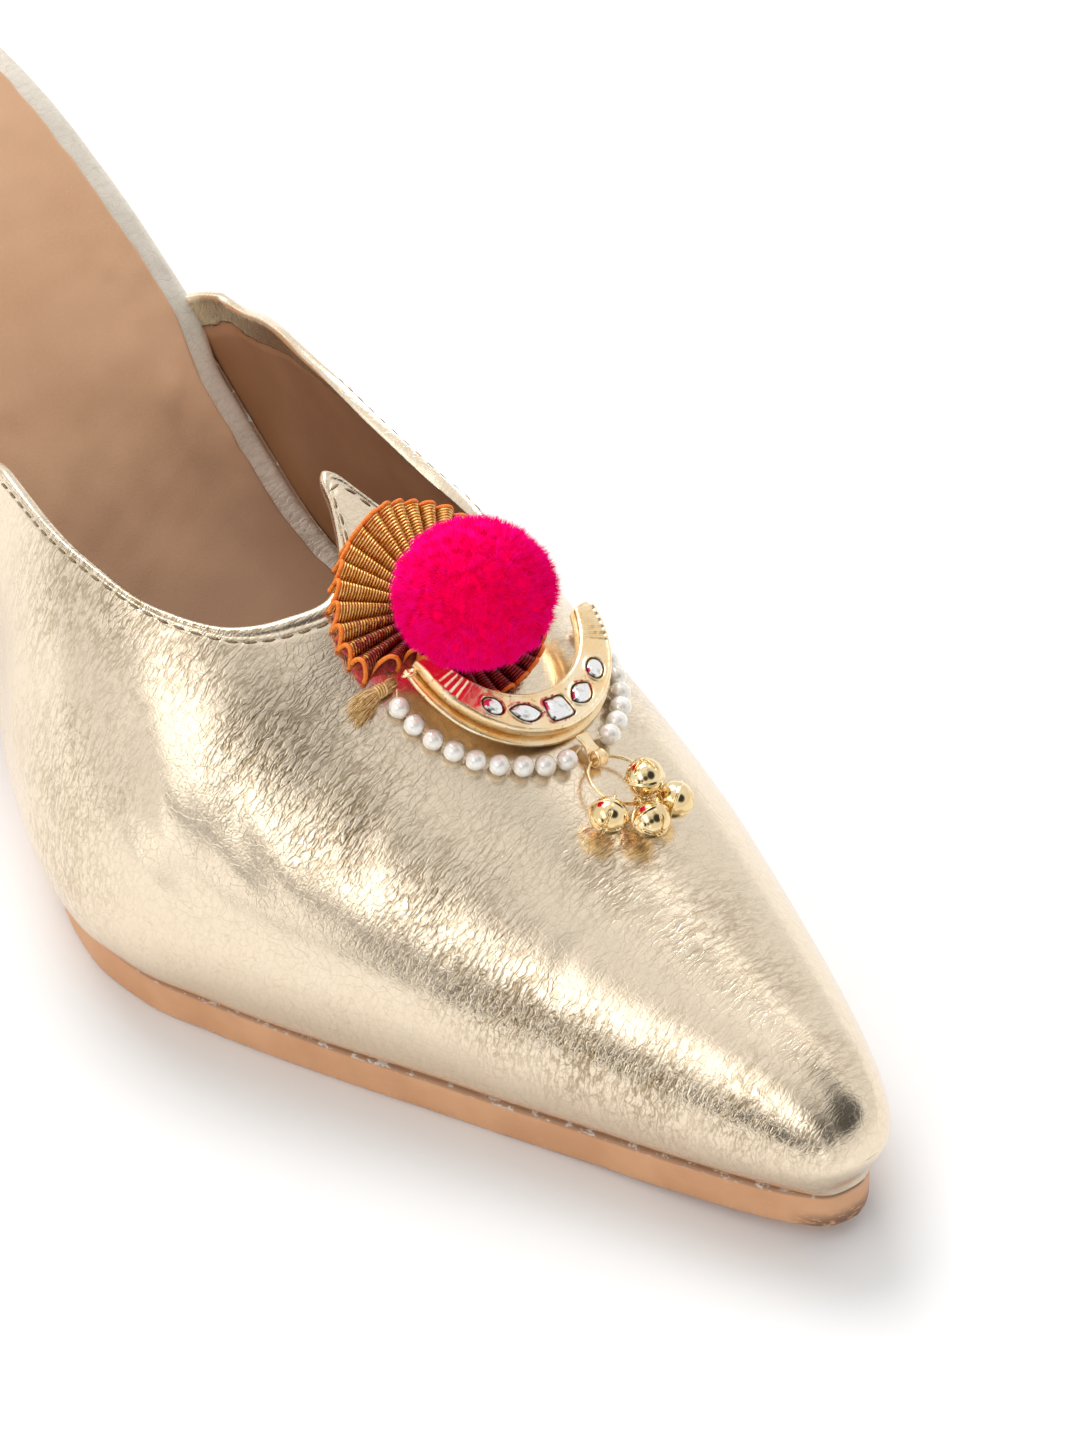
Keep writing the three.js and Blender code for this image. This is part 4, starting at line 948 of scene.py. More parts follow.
# Crescent numbers shared by the pieces around it
crescentPlan = {
    "radius": 16, "x": -1.5, "y": -1, "width": 5.6, "tipWidth": 2.6, "thickness": 1.9, "span": 186,
    "back": 0.9, "backRim": 0.9, "pocket": 0.75, "stoneProud": 0.35, "lip": 0.4, "begin": 0.022, "rib": 0.021,
    "stoneLine": 0.52, "rimProud": 0.10, "ribProud": 0.24, "pocketRim": 0.16,
    # stones: place along the arc, half length, half width, powers of the outline along and across
    "stones": [(0.268, 1.55, 1.15, 2.2, 2.2), (0.388, 2.1, 1.3, 2, 1.2), (0.508, 1.9, 1.6, 6, 6),
               (0.633, 2.35, 1.25, 2, 1.1), (0.748, 1.5, 1.2, 2, 2)],
}


def crescentBand(share):
    narrow, wide = crescentPlan["tipWidth"], crescentPlan["width"]
    return narrow + (wide - narrow) * np.sin(math.pi * np.clip(share, 0, 1)) ** 0.8


def crescentTurn(share):
    return np.radians(90 + crescentPlan["span"] * (np.asarray(share, float) - 0.5))


def crescentArc(turn, radius):
    return crescentPlan["x"] + radius * np.cos(turn), crescentPlan["y"] + radius * np.sin(turn)


def crescentSpot(share, radius, h):
    return onPlane(*crescentArc(crescentTurn(share), radius), h)


def crescentLevels():
    turn = crescentTurn(np.linspace(0, 1, 25))
    under = leatherHeight(*crescentArc(turn, crescentPlan["radius"] + crescentPlan["backRim"]))
    low = under.max() + shoe["gap"]
    floor = low + crescentPlan["back"] + shoe["gap"]
    return low, floor, floor + crescentPlan["thickness"]


standOff, crescentFloor, crescentTop = crescentLevels()


# Cast and polished metals
def castGold(name, red=False):
    look = Look(name)
    fine, pits, broad = look.noise(0.22, 3, 0.7), look.noise(0.7, 3, 0.6), look.noise(4, 2)
    base = look.mix(broad.between(0.35, 0.65), (0.96, 0.70, 0.38), (1.0, 0.83, 0.57))
    base = look.mix(pits.between(0.60, 0.72) * 0.6, base, (0.50, 0.26, 0.08))
    rough, metal = fine * 0.22 + pits * 0.12 + 0.14, 1.0
    if red:
        paint = (look.uv("X") + (pits - 0.5) * 0.9).between(0.42, 0.62)
        base = look.mix(paint, base, (0.62, 0.035, 0.045))
        metal = 1 - paint * 0.75
        rough = rough + paint * 0.12
    return look.wear(base, rough, metal, [(pits, 0.06), (fine, 0.02)])


def brightBrass():
    look = Look("brightBrass", Metallic=1.0)
    fine, broad = look.noise(0.5, 3, 0.6), look.noise(2.5, 2)
    base = look.mix(broad.between(0.3, 0.7), (0.84, 0.63, 0.32), (0.94, 0.76, 0.47))
    return look.wear(base, fine * 0.10 + 0.07, None, [(broad, 0.02)])


# Ruffle: cloth whose height waves round the ring, its folds leaning over a little
rufflePlan = {
    "radius": 14.9, "hole": 4.5, "cloth": 0.4, "pleats": 34, "height": 1.6, "x": -6.8, "y": -8.6,
    "clear": 0.8, "knotMargin": 8, "lean": 1.5, "cord": 0.32, "rib": 0.42, "felt": 14.1,
    "stations": 850, "rows": 26,
}


def ruffleReach(turn):
    # the crescent and the knot at its tip stop the cloth
    plan, moon = rufflePlan, crescentPlan
    radii = np.arange(1.5 * plan["hole"], plan["radius"] + 0.05, 0.1)[:, None]
    a = plan["x"] + radii * np.cos(turn) - moon["x"]
    b = plan["y"] + radii * np.sin(turn) - moon["y"]
    place = np.degrees(np.arctan2(b, a))
    share = (np.where(place < -90, place + 360, place) - (90 - moon["span"] / 2)) / moon["span"]
    free = (share < -0.02) | (share > 1 + plan["knotMargin"] / moon["span"])
    free |= np.hypot(a, b) <= moon["radius"] - crescentBand(share) - plan["clear"]
    return np.where(free, radii, radii[0]).max(0)


def brocade():
    # uv holds the radius in millimetres and the share of red
    look = Look("brocade")
    radius, red = look.uv("X"), look.uv("Y")
    ribs = (radius * (2 * math.pi / rufflePlan["rib"])).wave() * 0.5 + 0.5
    grain, spangle = look.noise(0.35, 3, 0.7), look.cells(0.42, output="Color")
    glint = look.node("ShaderNodeSeparateXYZ", {}, {0: spangle}, "X")
    gold = look.mix(glint, (0.66, 0.32, 0.05), (1.0, 0.74, 0.28))
    gold = look.mix(ribs.between(0.1, 0.6), (0.42, 0.16, 0.02), gold)
    wine = look.mix(glint, (0.20, 0.008, 0.012), (0.52, 0.06, 0.05))
    wine = look.mix(ribs.between(0.3, 0.9), (0.09, 0.004, 0.008), wine)
    share = (red + (grain - 0.5) * 0.7 + (glint - 0.5) * 0.35).between(0.38, 0.62)
    base = look.mix(share, gold, wine)
    return look.wear(base, glint * 0.22 + 0.24, 0.88 - share * 0.33, [(ribs, 0.12), (glint, 0.03)])


def plain(name, low, high, rough=0.6, size=0.5, depth=0.04, **fixed):
    look = Look(name, **fixed)
    grain = look.noise(size, 3, 0.65)
    base = look.mix(grain.between(0.35, 0.65), low, high)
    return look.wear(base, grain * 0.15 + rough, None, [(grain, depth)])


def ruffleSheet(turn, share):
    # height of a fold at this angle and share of the reach, and the fold's own sideways lean
    plan = rufflePlan
    reach = ruffleReach(turn)
    radius = plan["hole"] + (reach - plan["hole"]) * share
    uneven = 1 + 0.18 * np.sin(3.1 * turn + 0.6) + 0.12 * np.sin(7.3 * turn)
    phase = plan["pleats"] * turn
    wave = plan["height"] * uneven * (1 + np.cos(phase)) * (radius / reach)
    lean = plan["lean"] * uneven * np.sin(phase + 0.5) * (radius / reach) ** 1.5 / plan["pleats"]
    a, b = plan["x"] + radius * np.cos(turn + lean), plan["y"] + radius * np.sin(turn + lean)
    return radius, a, b, leatherHeight(a, b) + 2 * shoe["gap"] + wave


def makeRuffle():
    plan = rufflePlan
    turn = around(plan["stations"])[None]
    share = np.linspace(0, 1, plan["rows"])[:, None]
    radius, a, b, h = ruffleSheet(turn, share)
    sheet = onPlane(a, b, h + plan["cloth"] / 2)
    along = np.roll(sheet, -1, 1) - np.roll(sheet, 1, 1)
    normal = unit(np.cross(along, np.gradient(sheet, axis=0)))
    normal = normal * np.sign(np.sum(normal @ axisH)) * plan["cloth"] / 2
    low, high = sheet - normal, sheet + normal
    red = 0.56 + 0.06 * (b - plan["y"]) + 0.02 * (10 - radius)
    uv = np.stack([radius, red], -1)
    rows, uv = np.concatenate([low, high[::-1]]), np.concatenate([uv, uv[::-1]])
    makePiece("ruffle_cloth", rows, gridQuads(*rows.shape[:2], True, True), brocade(), slot="brocade",
              replaces=["ruffle"], uv=uv)
    edge = sheet[-1]
    away = unit(edge - onPlane(plan["x"], plan["y"], 0))
    jitter = 0.05 * blots(edge, 0.6, 51)[:, None]
    cord = tube(edge + away * jitter, plan["cord"] + 0.05 * blots(edge, 0.9, 52), axisH, 8, closed=True)
    orange = plain("orangeCord", (0.80, 0.16, 0.015), (0.93, 0.30, 0.03), 0.6, 0.3, 0.08)
    makePiece("ruffle_cord", *joined([cord]), orange, slot="brocade")

    # Felt behind the ruffle, seen below its folds
    turn = around(360)
    share = np.linspace(0.3, 1, 20)[:, None]
    ragged = blots(np.stack([np.cos(turn), np.sin(turn), 0 * turn], -1) * 14, 0.9, 53)
    reach = np.minimum(ruffleReach(turn), plan["felt"]) + 0.5 * ragged
    a, b = plan["x"] + reach * share * np.cos(turn), plan["y"] + reach * share * np.sin(turn)
    h = leatherHeight(a, b)
    lift = 0.16 * (1 - share ** 6) * (1 + 0.5 * blots(onPlane(a, b, h), 0.7, 54))
    rows = np.concatenate([onPlane(a, b, h + 0.1), onPlane(a, b, h + 0.16 + lift)[::-1]])
    felt = plain("pinkFelt", (0.70, 0.05, 0.12), (0.86, 0.22, 0.06), 0.85, 0.8, 0.1)
    makePiece("ruffle_felt", rows, gridQuads(*rows.shape[:2], True, True), felt, slot="brocade")


# Pompom: a soft core under a dense coat of cut yarn, gathered into small tufts
pompomPlan = {"x": -10, "y": -4.3, "height": 12.4, "size": (25.2, 22.2, 19.8), "core": 0.86, "root": 0.74,
              "fibres": 46000, "tufts": 760, "gather": 0.66, "width": 0.26, "spread": 0.045}


def evenWays(count):
    # directions spread evenly over a ball along one long spiral
    k = np.arange(count) + 0.5
    tall = 1 - 2 * k / count
    turn = k * math.pi * (3 - math.sqrt(5))
    flat = np.sqrt(1 - tall * tall)
    return np.stack([flat * np.cos(turn), flat * np.sin(turn), tall], -1)


# painted glow: the yarn gives off pink light of its own, and no shine
pompomGlow = {"Specular_IOR_Level": 0.0, "Emission_Color": (1.0, 0.0, 0.10, 1)}


def pompomYarn():
    look = Look("pompomYarn", Emission_Strength=0.27, **pompomGlow)
    # uv holds the fibre's tone, and the share of the way along it, less at tips far from the tuft's middle,
    # for the painted shade
    tone, along = look.uv("X"), look.uv("Y")
    # painted shade: dark at the roots deep in the pile and at the edges of the tufts
    base = look.mix(along.between(0.1, 0.7), (0.42, 0.0, 0.02), (0.95, 0.0, 0.08))
    base = look.mix(along.between(0.2, 0.8) * tone, base, (1.0, 0.006, 0.36))
    return look.wear(base, tone * 0.1 + 0.72)


def makePompom():
    plan = pompomPlan
    half = np.array(plan["size"]) / 2
    rows, columns = 60, 100
    ball = np.stack(sphere(np.linspace(0, math.pi, rows)[:, None], around(columns)[None]), -1)

    def seat(spots):
        spots = spots * half
        return onPlane(plan["x"] + spots[..., 0], plan["y"] + spots[..., 1], plan["height"] + spots[..., 2])
    # the core gives off the same painted glow as the yarn
    core = plain("pompomCore", (0.80, 0.0, 0.05), (0.92, 0.0, 0.09), 0.8, 0.5, 0.1,
                 Emission_Strength=0.25, **pompomGlow)
    ball = ball * (plan["core"] + 0.01 * blots(ball, 0.2, 61)[..., None])
    makePiece("pompom_core", seat(ball), gridQuads(rows, columns, wrapColumns=True), core,
              slot="pompom_yarn", replaces=["pompom"])
    random = np.random.RandomState(62)
    count = plan["fibres"]
    roots = unit(evenWays(count) + random.normal(0, 0.012, (count, 3)))
    tufts = unit(evenWays(plan["tufts"]) + random.normal(0, 0.03, (plan["tufts"], 3)))
    nearest = np.concatenate([(part @ tufts.T).argmax(1) for part in np.array_split(roots, 20)])
    stray = random.normal(0, plan["spread"], (count, 3))
    tips = unit(roots + (tufts[nearest] - roots) * plan["gather"] + stray)
    tuftSize = random.uniform(-0.065, 0.02, plan["tufts"])[nearest]
    off = np.linalg.norm(roots - tufts[nearest], axis=1) / np.sqrt(4 * math.pi / plan["tufts"])
    reach = 0.99 + tuftSize - 0.15 * off ** 2 + random.normal(0, 0.014, count)
    reach = np.minimum(reach + np.where(random.rand(count) < 0.03, 0.04, 0), 1.03)[:, None]
    side = unit(np.cross(roots, random.normal(0, 1, (count, 3))))
    other = np.cross(roots, side)
    width = plan["width"] / half.mean()
    turn = np.array([0, 2, 4])[:, None] * math.pi / 3
    foot = side[:, None] * np.cos(turn) + other[:, None] * np.sin(turn)
    base = roots[:, None] * plan["root"] + width / 2 * foot
    points = seat(np.concatenate([base, tips[:, None] * reach[:, None]], 1))
    faces = np.array([[0, 1, 3], [1, 2, 3], [2, 0, 3], [0, 2, 1]])
    faces = (faces[None] + 4 * np.arange(count)[:, None, None]).reshape(-1, 3)
    # 0 at the three points of the foot; at the tip less the further it is from its tuft's middle
    shade = np.array([[0, 0, 0, 1.0]]) * np.clip(1.1 - 2.4 * off[:, None] ** 2, 0.12, 1)
    tone = 0.35 * random.rand(count, 1) + 0.65 * random.rand(plan["tufts"])[nearest][:, None]
    uv = np.stack([np.broadcast_to(tone, shade.shape), shade], -1)
    makePiece("pompom_fibres", points, faces, pompomYarn(), slot="pompom_yarn", uv=uv, keep=True)


makeRuffle()
makePompom()
print("ruffle and pompom made")


# Crescent: a cast band with pockets, raised rims and ribs at both ends
def stoneRadius(place):
    return crescentPlan["radius"] - crescentBand(place) * crescentPlan["stoneLine"]


def stoneMeasure(stone, share, radius):
    # about millimetres outside the outline, below 0 inside it: the measure over its own slope
    place, long, wide, powerLong, powerWide = stone
    middle = stoneRadius(place)
    x = np.abs(share - place) * middle * math.radians(crescentPlan["span"]) / long
    y = np.abs(radius - middle) / wide
    even = (powerLong + powerWide) / 2
    value = np.maximum(x ** powerLong + y ** powerWide, 1e-6)
    slope = np.hypot(powerLong * x ** (powerLong - 1) / long, powerWide * y ** (powerWide - 1) / wide)
    slope = slope * value ** (1 / even - 1) / even
    return (value ** (1 / even) - 1) / np.maximum(slope, 1e-3)


def makeCrescent():
    # the section runs up the outer side, over the lip, across the top and down the inner side, as
    # rows of (share of the band, extra radius, height); the plate narrows to both its tips
    plan, lip, thick = crescentPlan, crescentPlan["lip"], crescentPlan["thickness"]
    share = np.linspace(plan["begin"], 1, 520)[:, None]
    blunt = np.where(share < 0.5, (share - plan["begin"]) / 0.018, (1 - share) / 0.05)
    tip = np.sqrt(1 - (1 - np.clip(blunt, 0, 1)) ** 2)
    bend = np.linspace(0, math.pi / 2, 6)
    rows = [(1.0, -lip, 0.0), (1.0, 0.0, 0.3 * thick)]
    rows += [(1.0, -lip * (1 - math.cos(t)), thick - lip * (1 - math.sin(t))) for t in bend]
    rows += [(1 - s, -lip + 2 * lip * s, thick) for s in np.linspace(0, 1, 58)[1:-1]]
    rows += [(0.0, lip * (1 - math.sin(t)), thick - lip * (1 - math.cos(t))) for t in bend]
    rows += [(0.0, 0.0, 0.3 * thick), (0.0, 0.15, 0.0)]
    part, extra, height = np.array(rows).T[:, None]
    band = (crescentBand(share) + 0.5) * tip
    extra = extra * tip
    radius = plan["radius"] - band * (1 - part) + extra
    h = crescentFloor + height * (0.55 + 0.45 * tip)
    top = smooth(height / thick, 0.9, 1.0)
    inside = np.minimum(band * part + extra, band * (1 - part) - extra)
    rim = plan["rimProud"] * np.exp(-((inside - 0.45) / 0.22) ** 2)
    ribs = 0.5 + 0.5 * np.cos(2 * math.pi * share / plan["rib"])
    ribbed = smooth(share, 0.01, 0.03) * smooth(share, 0.17, 0.14)
    ribbed = ribbed + smooth(share, 0.83, 0.86) * smooth(share, 0.95, 0.92)
    ribbed = ribbed * smooth(inside, 0.3, 0.7)
    relief = rim + (ribs - 2 / 3) * plan["ribProud"] * ribbed
    spots = crescentSpot(share, radius, h)
    relief += 0.05 * blots(spots, 1.6, 71) + 0.03 * blots(spots, 0.6, 72)
    red = smooth(share, 0.80, 0.86) * smooth(share, 0.96, 0.90) * (0.66 - 0.4 * ribs * ribbed)
    red = red * smooth(inside, 2.2, 0.5) * (part < 0.7)
    paint = blots(spots, 2.0, 73) > 0.1
    for stone in plan["stones"]:
        away = stoneMeasure(stone, share, radius)
        relief += plan["pocketRim"] * np.exp(-((away - 0.42) / 0.20) ** 2)
        relief += (-plan["pocket"] - relief) * smooth(away, 0.24, 0.08)
        red = np.maximum(red, 0.55 * np.exp(-((away - 0.35) / 0.4) ** 2) * paint)
    rings = crescentSpot(share, radius, h + relief * top)
    makePiece("crescent_cast", *lidded(rings), castGold("crescentGold", red=True), slot="cast_gold",
              replaces=["crescent"], uv=np.stack([red, share * np.ones_like(red)], -1))

    turn = around(28)
    across, tall = 0.5 + 0.5 * boxy(np.cos(turn), 0.35), 0.5 + 0.5 * boxy(np.sin(turn), 0.45)
    radius = plan["radius"] + plan["backRim"] - band * (1 - across)
    h = standOff + plan["back"] * tall
    radius = radius + 0.07 * blots(crescentSpot(share, radius, h), 1.8, 74) - 0.07
    makePiece("crescent_flange", *lidded(crescentSpot(share, radius, h)), castGold("flangeGold"),
              slot="cast_gold", replaces=["crescent_back"])


def stoneLook():
    # foil-backed glass: bright facets, with painted shade towards the girdle down in its pocket
    look = Look("silverStone", Metallic=0.92, Coat_Weight=1.0, Coat_Roughness=0.02)
    rim = look.uv("X")
    smear = look.noise(0.9, 3)
    base = look.mix(rim.between(0.75, 1.0), (0.92, 0.92, 0.91), (0.12, 0.09, 0.07))
    base = look.mix(smear.between(0.5, 0.7) * 0.5, base, (0.45, 0.43, 0.42))
    return look.wear(base, smear * 0.1 + 0.04)


def makeStones():
    parts, uvs = [], []
    floor = crescentTop - crescentPlan["pocket"] + 0.1
    proud = crescentTop + crescentPlan["stoneProud"]
    # the outline's scale and height from the pocket's floor to the flat top
    levels = [(1.0, floor), (1.02, crescentTop - 0.05), (0.80, proud - 0.12), (0.50, proud)]
    turn = around(30)
    for place, long, wide, powerLong, powerWide in crescentPlan["stones"]:
        middle = stoneRadius(place)
        x, y = long * boxy(np.cos(turn), 2 / powerLong), wide * boxy(np.sin(turn), 2 / powerWide)
        rings = []
        for scale, h in levels:
            share = place + x * scale / (middle * math.radians(crescentPlan["span"]))
            rings.append(crescentSpot(share, middle + y * scale, h))
        parts.append(lidded(np.array(rings)))
        # share of painted shade: full at the girdle and the pocket's floor, less up the crown
        uvs.append(np.repeat([1.0, 1.0, 0.62, 0.3], len(turn)))
    points, faces = joined(parts)
    uv = np.stack([np.concatenate(uvs), np.zeros(len(points))], -1)
    names = [f"stone_{k + 1}" for k in range(len(crescentPlan["stones"]))]
    makePiece("crescent_stones", points, faces, stoneLook(), slot="crystal", replaces=names, uv=uv,
              flat=True)


makeCrescent()
makeStones()
print("crescent and stones made")


# Pearls on two strings, the bail, the ring and the bells
hangPlan = {
    "pearl": 2.9, "pitch": 3.15, "sag": 2.2, "rowRadius": 17.7, "outer": 9, "inner": 8, "rowGap": 25,
    "rowTurn": -5, "thread": 0.16, "bailX": 0.3, "bore": 1.5, "band": 0.5, "bailWidth": 1.8,
    "tongueWidth": 2.4, "tongue": 0.7, "reach": 3.3, "ring": 9, "ringWire": 0.5, "bell": 5.2, "seam": 0.22,
    "eyeWire": 0.44, "eyeBore": 1.16, "tilt": 14.5, "bellAngles": (-55, -9.5, 36, 13),
    "bellLifts": (0, 0, 0, 116), "slitDepth": 0.42, "holeDepth": 0.25, "collar": 0.12,
}


def pearlRow(count, way):
    # places along the row: each pearl is the first one at a pitch from the pearl before it
    degrees = hangPlan["rowGap"] / 2 + np.arange(0, 160, 0.1)
    turn = np.radians(90 + hangPlan["rowTurn"] + way * degrees)
    radius = hangPlan["rowRadius"] + hangPlan["sag"] * np.maximum(0, np.sin(turn)) ** 2
    a, b = crescentArc(turn, radius)
    spots = onPlane(a, b, leatherHeight(a, b) + shoe["gap"] + hangPlan["pearl"] / 2)
    chosen = [0]
    while len(chosen) < count:
        away = np.linalg.norm(spots[chosen[-1]:] - spots[chosen[-1]], axis=-1)
        chosen.append(chosen[-1] + int((away >= hangPlan["pitch"]).argmax()))
    return spots[chosen]


def ballAt(centre, radius, pole, sides=28, rows=20, dimple=0.0):
    # a ball whose two poles, where the string passes, may be drawn in
    side = unit(np.cross(pole, axisH + 0.01))
    other = np.cross(pole, side)
    tall = np.linspace(0, math.pi, rows)[:, None]
    size = radius * (1 - dimple * np.exp(-(np.sin(tall) / 0.28) ** 2))[..., None]
    x, y, z = (part[..., None] for part in sphere(tall, around(sides)[None]))
    return centre + size * (x * side + y * other + z * pole), [gridQuads(rows, sides, wrapColumns=True)]


def pearlLook():
    look = Look("pearl", Metallic=0.22, Subsurface_Weight=0.15, Subsurface_Radius=(0.001, 0.0008, 0.0006),
                Coat_Weight=1.0, Coat_Roughness=0.04)
    broad, fine = look.noise(1.6, 2), look.noise(0.4, 3)
    base = look.mix(broad.between(0.3, 0.7), (0.90, 0.84, 0.74), (0.97, 0.95, 0.90))
    return look.wear(base, fine * 0.10 + 0.12, None, [(broad, 0.03)])


def makePearls():
    parts, threads, random = [], [], np.random.RandomState(81)
    knotEnd = onPlane(-18.4, -1.0, leatherHeight(-18.4, -1.0) + 2.2)
    tipEnd = crescentSpot(0.02, 17.2, standOff + 0.4)
    rows = [(hangPlan["outer"], 1, knotEnd), (hangPlan["inner"], -1, tipEnd)]
    for count, way, end in rows:
        spots = pearlRow(count, way)
        along = unit(np.gradient(spots, axis=0))
        for spot, pole in zip(spots, along):
            size = hangPlan["pearl"] / 2 * random.uniform(1.0, 1.05)
            pole = unit(pole + random.normal(0, 0.12, 3))
            parts.append(ballAt(spot + random.normal(0, 0.04, 3), size, pole, dimple=0.07))
        start = onPlane(hangPlan["bailX"], 17.4, spots[0] @ axisH - planeOrigin @ axisH)
        path = np.concatenate([[start], spots, [end]])
        keys = np.linspace(0, len(path) - 1, 140)
        path = np.stack([curveThrough(np.arange(len(path)), line)(keys) for line in path.T], -1)
        threads.append(tube(path, hangPlan["thread"], axisH, 6))
    names = [f"pearl_{k + 1:02d}" for k in range(hangPlan["outer"] + hangPlan["inner"])]
    makePiece("pearl_rows", *joined(parts), pearlLook(), slot="pearl_glass", replaces=names)
    thread = plain("paleThread", (0.75, 0.55, 0.30), (0.88, 0.74, 0.5))
    makePiece("pearl_thread", *joined(threads), thread, slot="straw")


bailRadius = hangPlan["bore"] / 2 + hangPlan["band"]
tongueFrom = crescentPlan["y"] + crescentPlan["radius"] + crescentPlan["backRim"] + shoe["gap"]
bailY = tongueFrom + hangPlan["reach"] + bailRadius - hangPlan["band"]
bailH = max(standOff + hangPlan["tongue"] / 2,
            float(leatherHeight(hangPlan["bailX"], bailY)) + shoe["gap"] + bailRadius)
ringPivot = onPlane(hangPlan["bailX"], bailY, bailH)
ringTilt = math.radians(hangPlan["tilt"])
ringWay = axisB * math.cos(ringTilt) + axisH * math.sin(ringTilt)
ringNormal = unit(-np.cross(axisA, ringWay))
ringCentre = ringPivot + ringWay * hangPlan["ring"] / 2


def makeBail():
    plan = hangPlan
    turn, key = around(56)[:, None], around(32)
    # section of the band: a rounded bar with a raised collar at each end
    x, y = plan["bailWidth"] / 2 * boxy(np.cos(key), 0.5), boxy(np.sin(key), 0.6)
    collar = 0.10 * np.exp(-((np.abs(x) - 0.68) / 0.16) ** 2) - 0.08
    radius = (bailRadius + plan["bore"] / 2) / 2 + y * plan["band"] / 2 + np.where(y > 0, collar, 0)
    across, rise = (radius * np.cos(turn))[..., None], (radius * np.sin(turn))[..., None]
    rings = ringPivot + across * axisB + rise * axisH + x[None, :, None] * axisA
    band = (rings, [gridQuads(len(turn), len(key), True, True)])
    reach = bailY - plan["bore"] / 2 - plan["band"] / 2 - tongueFrom
    run = np.linspace(0, 1, 20)[:, None]
    pinch = 1 - 0.25 * np.sin(math.pi * run) ** 2
    a = plan["bailX"] + plan["tongueWidth"] / 2 * boxy(np.cos(key), 0.5) * pinch
    h = bailH + plan["tongue"] / 2 * boxy(np.sin(key), 0.7)
    tongue = lidded(onPlane(a, tongueFrom + reach * run, h))
    makePiece("bail_band", *joined([band, tongue]), castGold("bailGold"), slot="cast_gold", replaces=["bail"])


def makeRing():
    turn = around(96)[:, None]
    path = ringCentre + hangPlan["ring"] / 2 * (np.cos(turn) * ringWay + np.sin(turn) * axisA)
    wire = tube(path, hangPlan["ringWire"] / 2, ringNormal, 12, closed=True)
    makePiece("ring_wire", *joined([wire]), brightBrass(), body="ring", slot="bright_brass",
              replaces=["jump_ring"])


def makeBell(number, angle, lift, look):
    # sphere round the bell's own way out from the wire: proud seam at its middle, two slits that
    # cross below it, an eye on the wire
    plan = hangPlan
    turn, lift = math.radians(angle), math.radians(lift)
    out = ringWay * math.cos(turn) + axisA * math.sin(turn)
    along = unit(np.cross(out, ringNormal))
    wire = ringCentre + out * plan["ring"] / 2
    way = out * math.cos(lift) + ringNormal * math.sin(lift)
    cross = unit(np.cross(along, way))
    eye = (plan["eyeBore"] + plan["eyeWire"]) / 2
    radius = plan["bell"] / 2
    centre = wire + way * (radius + eye - plan["eyeWire"] / 4)
    rows, sides = 90, 128
    x, y, z = sphere(np.linspace(0, math.pi, rows)[:, None], around(sides)[None])
    fromAxis = np.hypot(x, y)
    size = radius + (plan["seam"] - 0.03) * np.exp(-(z / 0.065) ** 2)
    low = smooth(z, 0.25, 0.6)
    slit = smooth(np.minimum(np.abs(x), np.abs(y)) * radius, 0.26, 0.12)
    size = size - plan["slitDepth"] * low * slit * smooth(fromAxis, 0.9, 0.7)
    size = size - plan["holeDepth"] * low * smooth(fromAxis * radius, 0.6, 0.4)
    size = size + plan["collar"] * np.exp(-((fromAxis * radius - 0.75) / 0.2) ** 2) * (z < 0)
    x, y, z = ((part * size)[..., None] for part in (x, y, z))
    shell = (centre + x * along + y * cross + z * way, [gridQuads(rows, sides, wrapColumns=True)])
    turn = around(40)[:, None]
    loop = wire + eye * (np.cos(turn) * way + np.sin(turn) * cross)
    shank = tube(loop, plan["eyeWire"] / 2, along, 10, closed=True)
    makePiece(f"bell_{number}_shell", *joined([shell, shank]), look, body=f"bell_{'abcd'[number - 1]}",
              slot="bright_brass", replaces=[f"bell_{number}"])


# Straw: a bundle of cut strands tied at its waist at the crescent's outer tip, with a gold loop
knotPlan = {"a": -20.97, "b": -2.02, "height": 1.9, "strands": 230, "begin": 3.1, "length": 6.6,
            "waist": 0.36, "wraps": 3.4, "spread": 1.25, "width": 0.11}


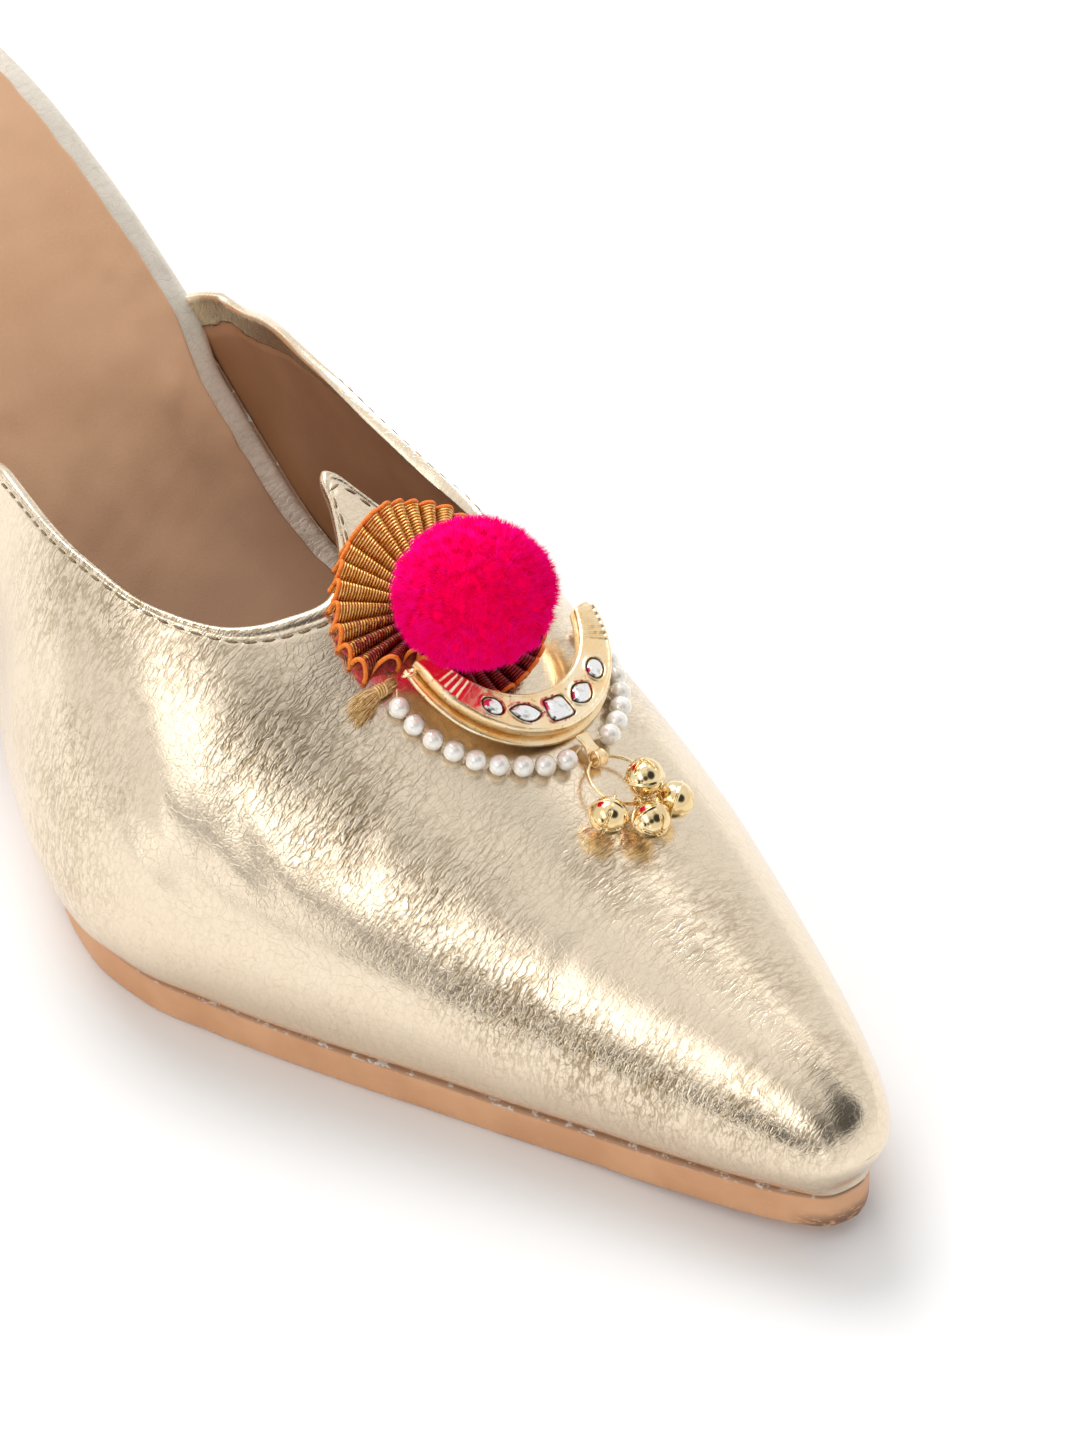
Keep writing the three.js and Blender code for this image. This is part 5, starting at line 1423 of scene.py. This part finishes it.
def makeKnot():
    plan, random = knotPlan, np.random.RandomState(91)
    count, steps = plan["strands"], 9
    t = np.linspace(0, 1, steps)[None, :]
    begin, length = random.uniform(0, 0.25, (count, 1)), random.uniform(0.55, 1.0, (count, 1))
    run = begin + (length - begin) * t
    angle, fan = random.uniform(0, 2 * math.pi, (count, 1)), np.sqrt(random.rand(count, 1))
    waist = np.exp(-((run - plan["waist"]) / 0.13) ** 2)
    wide = fan * plan["spread"] * (0.55 + 0.75 * run) * (1 - 0.55 * waist)
    curl = 0.35 * np.sin(random.uniform(2, 6, (count, 1)) * run + random.uniform(0, 6, (count, 1)))
    a = plan["a"] + plan["begin"] - plan["length"] * run
    b = plan["b"] + wide * np.cos(angle) * 1.15 + curl * run + 0.9 * run ** 2
    h = leatherHeight(a, b) + plan["height"] + wide * np.sin(angle) * 0.85 - 0.7 * run ** 2
    path = onPlane(a, b, np.maximum(h, leatherHeight(a, b) + 0.5))
    step = unit(np.gradient(path, axis=1))
    side = unit(np.cross(step, axisH + 0.02))
    rise = np.cross(side, step)
    turn = around(3)
    thin = plan["width"] * random.uniform(0.6, 1.3, (count, 1, 1, 1)) * (1 - 0.5 * t[..., None, None] ** 3)
    ring = side[:, :, None] * np.cos(turn)[:, None] + rise[:, :, None] * np.sin(turn)[:, None]
    rings = path[:, :, None] + thin * ring
    quads = gridQuads(steps, 3, wrapColumns=True)
    ends = np.array([[2, 1, 0], [3 * steps - 3, 3 * steps - 2, 3 * steps - 1]])
    offset = 3 * steps * np.arange(count)[:, None, None]
    straw = (rings, [(quads[None] + offset).reshape(-1, 4), (ends[None] + offset).reshape(-1, 3)])
    turn = np.linspace(0, 2 * math.pi * plan["wraps"], 90)
    a = plan["a"] + plan["begin"] - plan["length"] * plan["waist"] + 0.18 * (turn / math.pi - plan["wraps"])
    b = plan["b"] + 0.86 * np.cos(turn)
    wrap = onPlane(a, b, leatherHeight(a, plan["b"]) + plan["height"] - 0.05 + 0.72 * np.sin(turn))
    look = plain("straw", (0.62, 0.36, 0.11), (0.93, 0.67, 0.32), 0.45, 0.7, 0.05)
    makePiece("straw_bundle", *joined([straw, tube(wrap, 0.17, axisA, 6)]), look, slot="straw",
              replaces=["fibre_knot"])
    turn = around(48)[:, None]
    middle = onPlane(-18.2, -1.1, standOff + 0.75)
    loop = middle + 0.85 * (np.cos(turn) * axisA + np.sin(turn) * unit(axisH + 0.5 * axisB))
    bead = ballAt(middle + 0.95 * axisA, 0.62, axisA, 20, 14)
    loop = tube(loop, 0.26, axisB, 10, closed=True)
    makePiece("tip_loop", *joined([loop, bead]), castGold("loopGold"), slot="cast_gold")


makePearls()
makeBail()
makeRing()
brass = brightBrass()
for number, (angle, lift) in enumerate(zip(hangPlan["bellAngles"], hangPlan["bellLifts"])):
    makeBell(number + 1, angle, lift, brass)
makeKnot()
print("pearls, bail, ring, bells and knot made")
